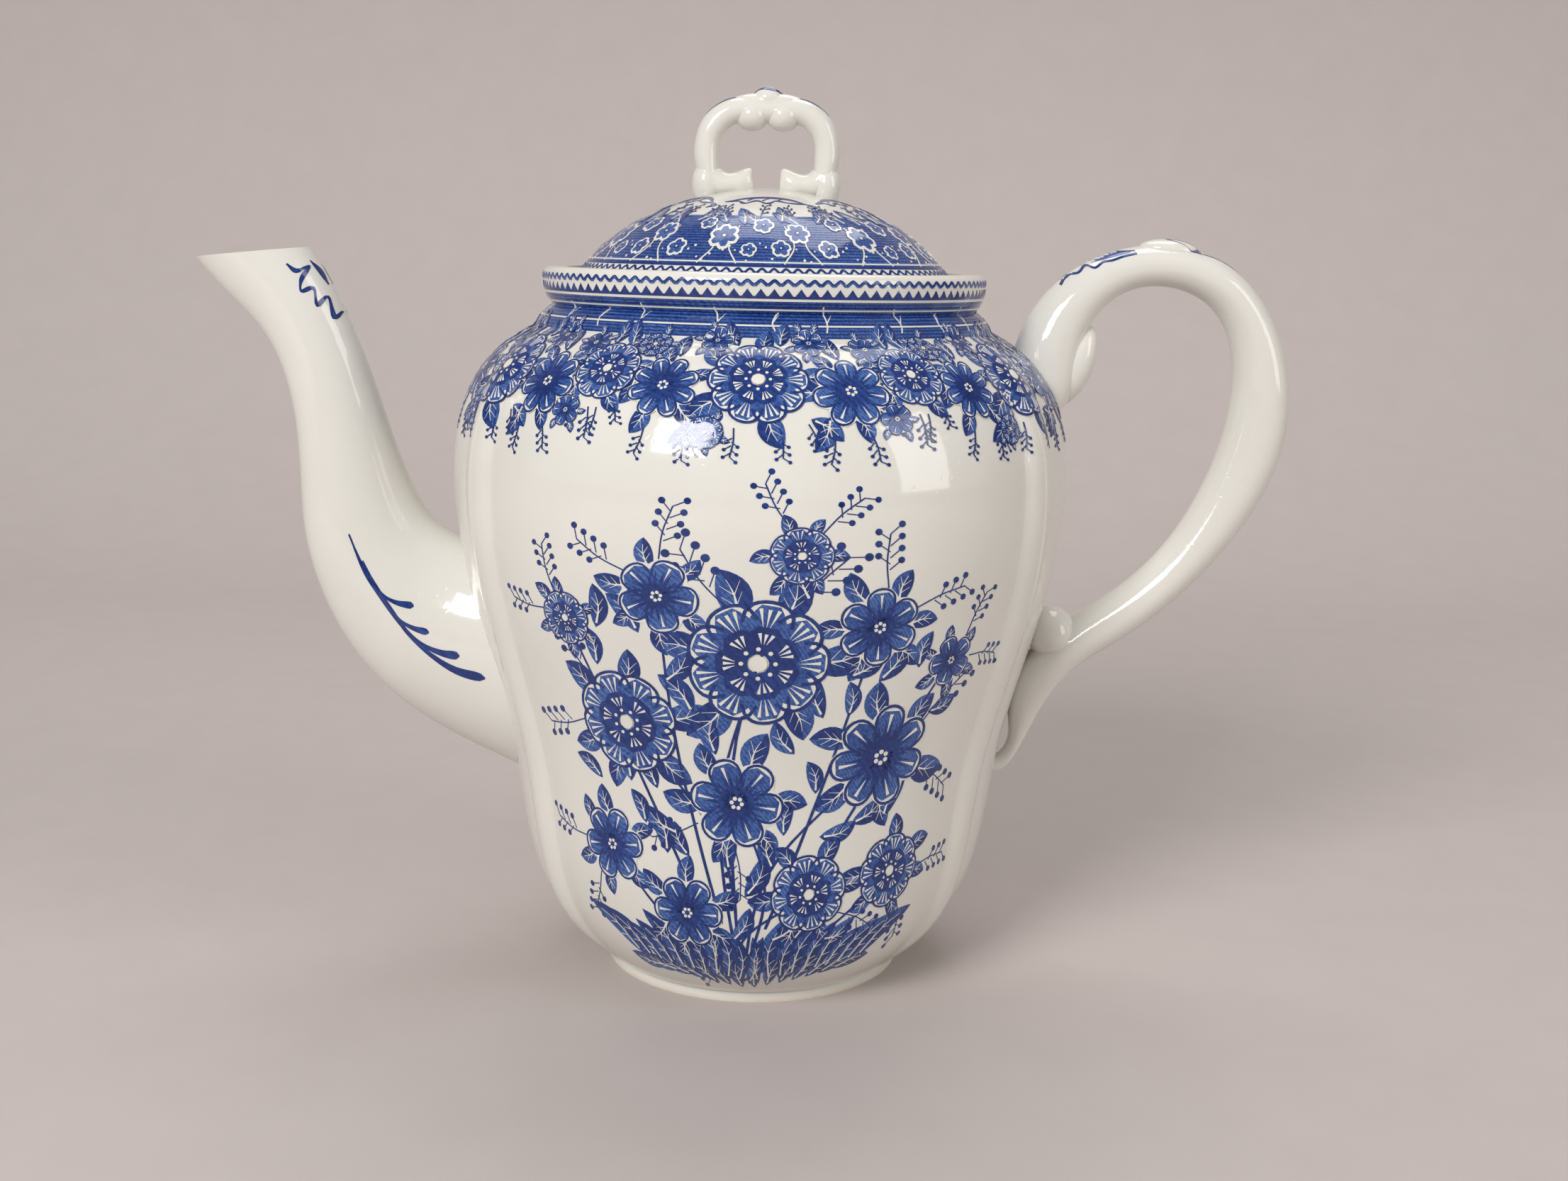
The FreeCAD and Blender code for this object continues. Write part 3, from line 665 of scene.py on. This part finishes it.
def lid_flower(petals):
    """A small cream flower with blue streaks and a dotted eye, reserved in the blue ground."""
    made = Motif()
    for number in range(petals):
        ahead, _ = heading_out(2 * math.pi * number / petals)
        made.stroke("ground", petal_lines(ahead, 1.0, 0.1, 1.0, 6), full(math.pi / petals * 0.86))
        made.stroke("wash", petal_lines(ahead, 1.0, 0.10, 0.82, 5), full(math.pi / petals * 0.52))
    made.dot("line", 0, 0, 0.24)
    made.dot("reserve", 0, 0, 0.10)
    return made


LID_REPEATS = 7
LID_FRONDS = 7
LID_FROND_FOOT = 11.2
LID_SPRIGS = ((-9, 115), (-1, 75), (8, 100), (13, 65))
LID_SPRIG_FOOT = 13.4
LID_TWIGS = ((-11.5, 2.2), (-4.5, -2.0), (3.8, 2.2), (10.5, -2.2))
LID_DOTS = 26


def lid_leaves():
    """Leaves and sprigs along the top of the ground on the lid, and reserved twigs and dots in it."""
    rng = random.Random(3)
    made = Motif()
    half = math.pi * LID_RADIUS / LID_REPEATS
    for number in range(LID_FRONDS):
        x = half * (2 * (number + 0.5) / LID_FRONDS - 1)
        frond = leaf(rng.uniform(6.4, 8.6), 1.75, rng.choice((-0.12, 0.12)))
        made.place(frond, x, LID_FROND_FOOT + rng.uniform(-0.6, 0.8), 90 + rng.uniform(-60, 60))
    for x, heading in LID_SPRIGS:
        made.place(berries(rng.uniform(4.8, 6.0), 5), x, LID_SPRIG_FOOT, heading)
    for x, lean in LID_TWIGS:
        made.stroke("reserve", along([(x, 1.6), (x + lean, 5.4), (x + lean * 0.4, 10.4)], 4), even(0.13))
    for number in range(LID_DOTS):
        x = half * (2 * (number + 0.5) / LID_DOTS - 1)
        made.dot("reserve", x, rng.uniform(2.0, 7.5), rng.uniform(0.14, 0.26))
    return made


# Flowers of one length of the lid's ground: place, radius and petals
LID_FLOWERS = (
    (-8, 7.6, 3.2, 6), (0, 10.8, 2.4, 5), (3.4, 4.8, 1.9, 5), (7.2, 8.6, 2.7, 6),
    (12.6, 4.8, 2.0, 5), (-13, 11.4, 2.0, 5), (-2.6, 4.4, 1.5, 5),
)


def lid_flowers():
    """The reserved flowers of one length of the ground on the lid."""
    made = Motif()
    for x, y, size, petals in LID_FLOWERS:
        made.place(lid_flower(petals), x, y, 25 * x, size)
    return made


KNOB_LEAF_RADIUS = 15.0
KNOB_LEAF_REPEATS = 6


def knob_leaf():
    """A brushed leaf outline on the dome round the feet of the knob."""
    made = Motif()
    tip = 6.8
    upper = [(-tip, 21.4), (-3.4, 23.9), (0.6, 24.7), (4.4, 23.6), (tip, 20.8)]
    lower = [(-tip, 21.4), (-4.6, 22.0), (-3.2, 20.7), (-1.4, 22.4),
             (0.4, 20.8), (2.0, 22.5), (4.0, 21.3), (tip, 20.8)]
    made.stroke("line", along(upper, 6), swelling(0.62, 0.16))
    made.stroke("line", along(lower, 5), lambda share: 0.18 + 0.20 * math.sin(math.pi * share * 6) ** 2)
    for x in (-3.0, -0.4, 2.2):
        made.stroke("line", along([(x, 22.5), (x + 0.5, 23.3), (x + 1.2, 23.9)], 4), tapered(0.24, 0.08))
    made.stroke("line", along([(tip, 20.8), (tip + 0.9, 19.4), (tip + 0.1, 18.2)], 4), swelling(0.58, 0.16))
    return made


# The fan of strokes at the root of the spout: the points of each stroke and its half width at the tip
SPOUT_FAN = (
    ([(-88.4, 93.0), (-85.6, 88.0), (-83.5, 85.4), (-80.7, 84.0), (-76.7, 83.4)], 0.78),
    ([(-87.2, 90.6), (-83.6, 85.2), (-80.4, 80.6), (-77.2, 78.6), (-73.2, 77.6)], 0.74),
    ([(-86.0, 88.6), (-81.6, 82.4), (-78.3, 77.9), (-74.8, 74.9), (-70.5, 73.2), (-66.2, 72.7)], 1.00),
    ([(-91.5, 98.8), (-88.1, 91.1), (-81.1, 81.0), (-77.6, 76.6), (-72.6, 72.4), (-67.0, 69.3),
      (-60.4, 67.9)], 1.12),
)


def spout_strokes():
    """A fan of loaded strokes at the root of the spout and a ragged leaf below its lip, in X and Z."""
    made = Motif()
    for points, half in SPOUT_FAN:
        made.stroke("line", along(points, 6), loaded(half))
    stem = [(-91.5, 98.8), (-88.1, 91.1), (-84.6, 85.9), (-79.8, 79.4), (-75.2, 74.4)]
    made.stroke("line", along(stem, 6), swelling(0.60, 0.20))
    ragged = [(-104.6, 157.8), (-102.6, 156.3), (-100.4, 157.4), (-101.6, 154.4), (-101.5, 152.0),
              (-99.2, 152.6), (-98.3, 149.0), (-96.5, 150.8), (-95.0, 146.4), (-93.6, 148.0)]
    made.stroke("line", along(ragged, 5), lambda share: 0.20 + 0.30 * math.sin(math.pi * share * 5) ** 2)
    made.stroke("line", along([(-93.6, 148.0), (-92.6, 145.6), (-90.8, 142.6)], 5), tapered(0.32, 0.10))
    made.stroke("line", along([(-100.4, 158.6), (-98.6, 156.4), (-96.8, 153.4)], 5), swelling(0.30, 0.08))
    return made


def handle_leaf():
    """A brushed leaf along the shoulder of the handle, in X and Z."""
    made = Motif()
    ragged = [(65.4, 156.8), (67.0, 159.0), (69.2, 159.6), (70.8, 161.2), (72.6, 160.7),
              (74.4, 162.0), (76.4, 162.4), (78.8, 163.3), (81.6, 164.0)]
    made.stroke("line", along(ragged, 4), even(0.22))
    inside = [(66.2, 157.9), (70.0, 161.6), (75.0, 163.2), (80.4, 164.3)]
    made.stroke("wash", along(inside, 5), swelling(0.62, 0.08))
    upper = [(66.0, 158.2), (70.0, 162.0), (75.2, 163.9), (81.4, 164.6)]
    made.stroke("line", along(upper, 5), swelling(0.26, 0.10))
    return made


def thumb_stripe():
    """A broad stripe over the thumb rest that thins out down the handle's back, in X and Y."""
    made = Motif()
    broad, thin, start = 3.6, 0.3, 0.12
    stripe = along([(88.6, 0), (94.0, 0), (99.0, 0), (109.0, 0)], 6)

    def width(share):
        return max(thin, broad * math.sin(math.pi * min(1, start + share)) ** 0.7)

    made.stroke("line", stripe, width)
    return made


def knob_strokes():
    """Short brushed lines over the bud and the shoulders of the knob, in X and Y."""
    made = Motif()
    bud = [(-3.0, -1.0), (-1.0, -1.7), (0.4, -2.0), (1.8, -1.7), (3.2, -1.0)]
    made.stroke("line", along(bud, 4), swelling(0.45, 0.14))
    for side in (1, -1):
        shoulder = [(side * 7.0, -1.2), (side * 10.6, -0.8), (side * 13.4, 0.2)]
        made.stroke("line", along(shoulder, 5), swelling(0.7, 0.12))
    return made


# Printing: Geometry Nodes turn the strokes into ribbons, repeat them and lay them on the clay

PRESS_INPUTS = {
    "Strokes": "Geometry", "Wall": "Object", "Repeats": "Int", "Pitch": "Float", "Radius": "Float",
    "Start": "Float", "Edge": "Float", "Lift": "Float", "Across": "Int", "Side": "Float", "Flip": "Bool",
    "Finish": "Material",
}
# Rays start this far out, and reach this far, in metres
RAY_START = 0.4
RAY_LENGTH = 1.0


def ribbon_tree(way):
    """A tree that prints strokes on a wall. The way says how the print plane meets it: round the axis, down
    on the shoulder, over the dome from above, or straight from the side or the top."""
    tree = bpy.data.node_groups.new(f"print {way}", "GeometryNodeTree")
    sockets = {}
    for name, kind in PRESS_INPUTS.items():
        socket = tree.interface.new_socket(name, in_out="INPUT", socket_type=f"NodeSocket{kind}")
        sockets[name] = socket.identifier
    tree.interface.new_socket("Print", in_out="OUTPUT", socket_type="NodeSocketGeometry")
    t = Tree(tree)
    given, out = t.add("NodeGroupInput"), t.add("NodeGroupOutput")

    row = t.add("GeometryNodeMeshLine", mode="OFFSET")
    t.join(given.outputs["Repeats"], row.inputs["Count"])
    t.join(t.vector(given.outputs["Pitch"], 0.0, 0.0), row.inputs["Offset"])
    copies = t.add("GeometryNodeInstanceOnPoints")
    t.join(row.outputs["Mesh"], copies.inputs["Points"])
    t.join(given.outputs["Strokes"], copies.inputs["Instance"])
    real = t.add("GeometryNodeRealizeInstances")
    t.join(copies.outputs["Instances"], real.inputs["Geometry"])
    brush = t.add("GeometryNodeCurvePrimitiveLine")
    brush.inputs["Start"].default_value = (-1, 0, 0)
    brush.inputs["End"].default_value = (1, 0, 0)
    split = t.add("GeometryNodeResampleCurve")
    t.join(given.outputs["Across"], split.inputs["Count"])
    t.join(brush.outputs["Curve"], split.inputs["Curve"])
    ribbon = t.add("GeometryNodeCurveToMesh")
    t.join(real.outputs["Geometry"], ribbon.inputs["Curve"])
    t.join(split.outputs["Curve"], ribbon.inputs["Profile Curve"])
    t.join(t.add("GeometryNodeInputRadius").outputs["Radius"], ribbon.inputs["Scale"])

    source, heading = aim(t, way, given)
    wall = t.add("GeometryNodeObjectInfo")
    t.join(given.outputs["Wall"], wall.inputs["Object"])
    ray = t.add("GeometryNodeRaycast")
    t.join(wall.outputs["Geometry"], ray.inputs["Target Geometry"])
    t.join(source, ray.inputs["Source Position"])
    t.join(heading, ray.inputs["Ray Direction"])
    ray.inputs["Ray Length"].default_value = RAY_LENGTH
    met = t.add("GeometryNodeStoreNamedAttribute", data_type="BOOLEAN", domain="POINT")
    met.inputs["Name"].default_value = "on_wall"
    t.join(ribbon.outputs["Mesh"], met.inputs["Geometry"])
    t.join(ray.outputs["Is Hit"], met.inputs["Value"])
    rise = t.add("ShaderNodeVectorMath", operation="SCALE")
    t.join(ray.outputs["Hit Normal"], rise.inputs[0])
    t.join(given.outputs["Lift"], rise.inputs["Scale"])
    laid = t.add("ShaderNodeVectorMath", operation="ADD")
    t.join(ray.outputs["Hit Position"], laid.inputs[0])
    t.join(rise.outputs[0], laid.inputs[1])
    lay = t.add("GeometryNodeSetPosition")
    t.join(met.outputs["Geometry"], lay.inputs["Geometry"])
    t.join(laid.outputs[0], lay.inputs["Position"])
    on_wall = t.add("GeometryNodeInputNamedAttribute", data_type="BOOLEAN")
    on_wall.inputs["Name"].default_value = "on_wall"
    missed = t.add("FunctionNodeBooleanMath", operation="NOT")
    t.join(on_wall.outputs["Attribute"], missed.inputs[0])
    trim = t.add("GeometryNodeDeleteGeometry", domain="POINT")
    t.join(lay.outputs["Geometry"], trim.inputs["Geometry"])
    t.join(missed.outputs[0], trim.inputs["Selection"])
    flip = t.add("GeometryNodeFlipFaces")
    t.join(trim.outputs["Geometry"], flip.inputs["Mesh"])
    t.join(given.outputs["Flip"], flip.inputs["Selection"])
    whole = t.add("GeometryNodeRealizeInstances")
    t.join(flip.outputs["Mesh"], whole.inputs["Geometry"])
    finish = t.add("GeometryNodeSetMaterial")
    t.join(whole.outputs["Geometry"], finish.inputs["Geometry"])
    t.join(given.outputs["Finish"], finish.inputs["Material"])
    t.join(finish.outputs["Geometry"], out.inputs["Print"])
    return tree, sockets


def aim(t, way, given):
    """Where the ray for a point of the print plane starts and which way it goes."""
    far = RAY_START
    apart = t.add("ShaderNodeSeparateXYZ")
    t.join(t.add("GeometryNodeInputPosition").outputs[0], apart.inputs[0])
    x, y = apart.outputs["X"], apart.outputs["Y"]
    angle = t.math("ADD", t.math("DIVIDE", x, given.outputs["Radius"]), given.outputs["Start"])
    cosine, sine = t.math("COSINE", angle), t.math("SINE", angle)
    if way == "round":
        source = t.vector(t.math("MULTIPLY", cosine, far), t.math("MULTIPLY", sine, far), y)
        heading = t.vector(t.math("MULTIPLY", cosine, -1.0), t.math("MULTIPLY", sine, -1.0), 0.0)
        return source, heading
    if way == "shoulder":
        slope = t.math("DIVIDE", y, SHOULDER_REACH * MM)
        level = t.math("COSINE", slope)
        rise = t.math("SINE", slope)
        ahead = t.vector(t.math("MULTIPLY", cosine, level), t.math("MULTIPLY", sine, level), rise)
        source = t.add("ShaderNodeVectorMath", operation="MULTIPLY_ADD")
        t.join(ahead, source.inputs[0])
        source.inputs[1].default_value = (far, far, far)
        source.inputs[2].default_value = (0, 0, SHOULDER_CENTRE * MM)
        back = t.add("ShaderNodeVectorMath", operation="SCALE")
        t.join(ahead, back.inputs[0])
        back.inputs["Scale"].default_value = -1.0
        return source.outputs[0], back.outputs[0]
    if way == "dome":
        reach = t.math("SUBTRACT", given.outputs["Edge"], y)
        source = t.vector(t.math("MULTIPLY", cosine, reach), t.math("MULTIPLY", sine, reach), far)
        return source, t.vector(0.0, 0.0, -1.0)
    if way == "side":
        side = given.outputs["Side"]
        source = t.vector(x, t.math("MULTIPLY", side, far), y)
        return source, t.vector(0.0, t.math("MULTIPLY", side, -1.0), 0.0)
    return t.vector(x, y, far), t.vector(0.0, 0.0, -1.0)


TREES = {way: ribbon_tree(way) for way in ("round", "shoulder", "dome", "side", "top")}
# Lifts off the clay, in millimetres: later tones cover earlier ones, and each layer lies over the last
LIFTS = {"ground": 0.03, "wash": 0.06, "line": 0.09, "reserve": 0.12}
LAYER = 0.10
# Points across a ribbon: broad tones bend with the wall, thin lines needn't
ACROSS = {"ground": 4, "wash": 4, "line": 3, "reserve": 2}


def stroke_curve(name, strokes):
    """Strokes as one curve of many lines, whose radius is the half width."""
    curve = bpy.data.curves.new(name, "CURVE")
    curve.dimensions = "3D"
    for stroke in strokes:
        spline = curve.splines.new("POLY")
        spline.points.add(len(stroke) - 1)
        for point, (x, y, half) in zip(spline.points, stroke):
            point.co = (x * MM, y * MM, 0, 1)
            point.radius = half * MM
    return curve


def settled(thing, name):
    """A plain mesh of what its modifiers make of a thing."""
    bpy.context.view_layer.update()
    ready = thing.evaluated_get(bpy.context.evaluated_depsgraph_get())
    mesh = bpy.data.meshes.new_from_object(ready)
    mesh.name = name
    mesh.shade_smooth()
    return mesh


def film(name, ribbons):
    """A closed film made from ribbons, smooth on top and crisp along its edges."""
    piece = bpy.data.objects.new(name, ribbons)
    bpy.context.scene.collection.objects.link(piece)
    thick = piece.modifiers.new("film", "SOLIDIFY")
    thick.thickness = FILM * MM
    thick.offset = -1.0
    piece.data = settled(piece, name)
    piece.modifiers.remove(thick)
    piece.data.set_sharp_from_angle(angle=math.radians(FILM_EDGE))
    bpy.data.meshes.remove(ribbons)
    return piece


def printed(name, motif, way, node, body, repeats=1, radius=SPRAY_RADIUS, layer=0, side=-1.0):
    """Prints a motif on a CAD node, one piece for each tone, and lets it ride with that node's body."""
    for tone, strokes in motif.tones.items():
        if not strokes:
            continue
        tree, sockets = TREES[way]
        curve = stroke_curve(f"{name}_{tone}_strokes", strokes)
        brush = bpy.data.objects.new(f"{name}_{tone}_brush", curve)
        bpy.context.scene.collection.objects.link(brush)
        press = brush.modifiers.new("print", "NODES")
        press.node_group = tree
        values = {
            "Wall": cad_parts[node],
            "Repeats": repeats,
            "Pitch": 2 * math.pi * radius / repeats * MM,
            "Radius": radius * MM,
            "Start": math.radians(FRONT),
            "Edge": LID_EDGE * MM,
            "Lift": (LIFTS[tone] + LAYER * layer) * MM,
            "Across": ACROSS[tone],
            "Side": side,
            "Flip": side > 0,
            "Finish": FINISH[tone],
        }
        for key, value in values.items():
            press[sockets[key]] = value
        ribbons = settled(brush, f"{name}_{tone}_ribbons")
        bpy.data.objects.remove(brush)
        bpy.data.curves.remove(curve)
        piece = film(f"{name}_{tone}", ribbons)
        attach(piece, body)


def decorate():
    """Prints every design on its piece, from the body up to the knob."""
    printed("spray_leaves", spray_leaves(), "round", "pot_body", "pot", SPRAY_REPEATS)
    printed("spray_blossoms", spray_blossoms(), "round", "pot_body", "pot", SPRAY_REPEATS, layer=1)
    printed("rim_border", rim_point(), "round", "pot_body", "pot", RIM_POINTS, RIM_RADIUS)
    printed("neck_band", neck_band(), "round", "pot_body", "pot", 1, RIM_RADIUS)
    printed("neck_twigs", neck_twigs(), "round", "pot_body", "pot", NECK_TWIG_REPEATS, RIM_RADIUS)
    length = {"repeats": GARLAND_REPEATS, "radius": GARLAND_RADIUS}
    printed("garland_leaves", garland_leaves(), "shoulder", "pot_body", "pot", layer=1, **length)
    printed("garland_blossoms", garland_blossoms(), "shoulder", "pot_body", "pot", layer=2, **length)
    printed("lid_band", lid_band(), "dome", "lid", "lid", 1, LID_RADIUS)
    printed("lid_border", lid_border_step(), "dome", "lid", "lid", LID_BUMPS, LID_RADIUS)
    printed("lid_leaves", lid_leaves(), "dome", "lid", "lid", LID_REPEATS, LID_RADIUS, layer=1)
    printed("lid_flowers", lid_flowers(), "dome", "lid", "lid", LID_REPEATS, LID_RADIUS, layer=2)
    printed("knob_leaf", knob_leaf(), "dome", "lid", "lid", KNOB_LEAF_REPEATS, KNOB_LEAF_RADIUS)
    for word, side in (("front", -1.0), ("back", 1.0)):
        printed(f"spout_strokes_{word}", spout_strokes(), "side", "spout", "pot", side=side)
        printed(f"handle_leaf_{word}", handle_leaf(), "side", "handle", "pot", side=side)
    printed("thumb_stripe", thumb_stripe(), "top", "handle", "pot")
    printed("knob_strokes", knob_strokes(), "top", "lid_knob", "lid")


# Clay

def smooth_tree():
    """Joins a solid's loose faces and shades it smooth, apart from its sharp edges."""
    tree = bpy.data.node_groups.new("smooth clay", "GeometryNodeTree")
    tree.interface.new_socket("Clay", in_out="INPUT", socket_type="NodeSocketGeometry")
    tree.interface.new_socket("Clay", in_out="OUTPUT", socket_type="NodeSocketGeometry")
    t = Tree(tree)
    given, out = t.add("NodeGroupInput"), t.add("NodeGroupOutput")
    weld = t.add("GeometryNodeMergeByDistance")
    weld.inputs["Distance"].default_value = WELD * MM
    t.join(given.outputs[0], weld.inputs["Geometry"])
    soft = t.add("GeometryNodeSetShadeSmooth", domain="FACE")
    t.join(weld.outputs["Geometry"], soft.inputs["Geometry"])
    angle = t.add("GeometryNodeInputMeshEdgeAngle")
    sharp = t.add("FunctionNodeCompare", data_type="FLOAT", operation="GREATER_THAN")
    t.join(angle.outputs["Unsigned Angle"], sharp.inputs[0])
    sharp.inputs[1].default_value = math.radians(CLAY_EDGE)
    crisp = t.add("GeometryNodeSetShadeSmooth", domain="EDGE")
    t.join(soft.outputs["Geometry"], crisp.inputs["Geometry"])
    t.join(sharp.outputs["Result"], crisp.inputs["Selection"])
    crisp.inputs["Shade Smooth"].default_value = False
    t.join(crisp.outputs["Geometry"], out.inputs[0])
    return tree


def glaze_clay():
    """Glazes and smooths every solid of the pot."""
    tree = smooth_tree()
    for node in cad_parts.values():
        node.data.materials.clear()
        node.data.materials.append(FINISH["clay"])
        node.modifiers.new("smooth clay", "NODES").node_group = tree


# Stage: lengths in metres, angles in degrees, the lens and sensor in millimetres, lamps in watts

CAMERA_PLACE = (0.0058, -0.400, 0.1636)
CAMERA_PITCH = 10.97
CAMERA_ROLL = 1.25
CAMERA_LENS = 40.6
CAMERA_SENSOR = 36.0
FLOOR_DEPTH = 8.0
FLOOR_HALF_WIDTH = 8.0
BACKDROP_PLACE = 0.75
BACKDROP_BEND = 0.35
BACKDROP_STEPS = 12
BACKDROP_HEIGHT = 2.4
# Lamps: place, point aimed at, width, height, power and tint
LAMPS = {
    "window": ((-0.62, -1.05, 0.80), (0, 0, 0.12), 0.50, 0.50, 15.0, (1.0, 0.995, 0.985)),
    "fill": ((1.10, -0.55, 0.55), (0, 0, 0.1), 0.5, 0.9, 5.0, (1.0, 0.98, 0.96)),
    "top": ((0.1, 0.60, 1.20), (0, 0, 0.1), 0.8, 0.8, 6.5, (1, 1, 1)),
}
WORLD_TINT = (1.0, 0.99, 0.975, 1)
WORLD_STRENGTH = 0.35


def camera():
    """A camera at the photograph's viewing angle."""
    data = bpy.data.cameras.new("photo camera")
    data.sensor_fit = "HORIZONTAL"
    data.sensor_width = CAMERA_SENSOR
    data.lens = CAMERA_LENS
    data.clip_start = 0.01
    eye = bpy.data.objects.new("photo camera", data)
    bpy.context.scene.collection.objects.link(eye)
    pitch = Matrix.Rotation(math.radians(90 - CAMERA_PITCH), 4, "X")
    roll = Matrix.Rotation(math.radians(CAMERA_ROLL), 4, "Z")
    eye.matrix_world = Matrix.Translation(CAMERA_PLACE) @ (pitch @ roll)
    bpy.context.scene.camera = eye


def softbox(name, place, target, width, height, power, tint):
    """A soft, flat lamp that faces a point."""
    data = bpy.data.lights.new(name, "AREA")
    data.shape = "RECTANGLE"
    data.size, data.size_y = width, height
    data.energy = power
    data.color = tint
    lamp = bpy.data.objects.new(name, data)
    bpy.context.scene.collection.objects.link(lamp)
    look = (Vector(target) - Vector(place)).to_track_quat("-Z", "Y")
    lamp.matrix_world = Matrix.Translation(place) @ look.to_matrix().to_4x4()


def floor_mesh():
    """A floor that curves up into a backdrop."""
    foot = BACKDROP_PLACE - BACKDROP_BEND
    outline = [(-FLOOR_DEPTH, 0.0), (foot, 0.0)]
    for step in range(1, BACKDROP_STEPS + 1):
        angle = math.pi / 2 * step / BACKDROP_STEPS
        rise = BACKDROP_BEND - BACKDROP_BEND * math.cos(angle)
        outline.append((foot + BACKDROP_BEND * math.sin(angle), rise))
    outline.append((BACKDROP_PLACE, BACKDROP_HEIGHT))
    points = [(x, y, z) for x in (-FLOOR_HALF_WIDTH, FLOOR_HALF_WIDTH) for y, z in outline]
    count = len(outline)
    faces = [(i, count + i, count + i + 1, i + 1) for i in range(count - 1)]
    mesh = bpy.data.meshes.new("floor")
    mesh.from_pydata(points, [], faces)
    mesh.shade_smooth()
    return mesh


def pale_floor():
    """A dull, pale material with a faint mottle."""
    material = bpy.data.materials.new("pale floor")
    material.use_nodes = True
    t = Tree(material.node_tree)
    shader = material.node_tree.nodes["Principled BSDF"]
    coords = t.add("ShaderNodeTexCoord").outputs["Object"]
    mottled = t.mix(t.noise(coords, FLOOR_SCALE, 4.0), FLOOR, FLOOR_SHADE)
    t.join(mottled, shader.inputs["Base Color"])
    shader.inputs["Roughness"].default_value = FLOOR_ROUGHNESS
    return material


def stage():
    """A pale floor with its backdrop, soft lamps and an even world."""
    floor = bpy.data.objects.new("floor", floor_mesh())
    floor.data.materials.append(pale_floor())
    bpy.context.scene.collection.objects.link(floor)
    for name, settings in LAMPS.items():
        softbox(name, *settings)
    world = bpy.data.worlds.new("studio")
    world.use_nodes = True
    background = world.node_tree.nodes["Background"]
    background.inputs["Color"].default_value = WORLD_TINT
    background.inputs["Strength"].default_value = WORLD_STRENGTH
    bpy.context.scene.world = world
    bpy.context.scene.view_settings.view_transform = "Standard"


camera()
glaze_clay()
decorate()
stage()
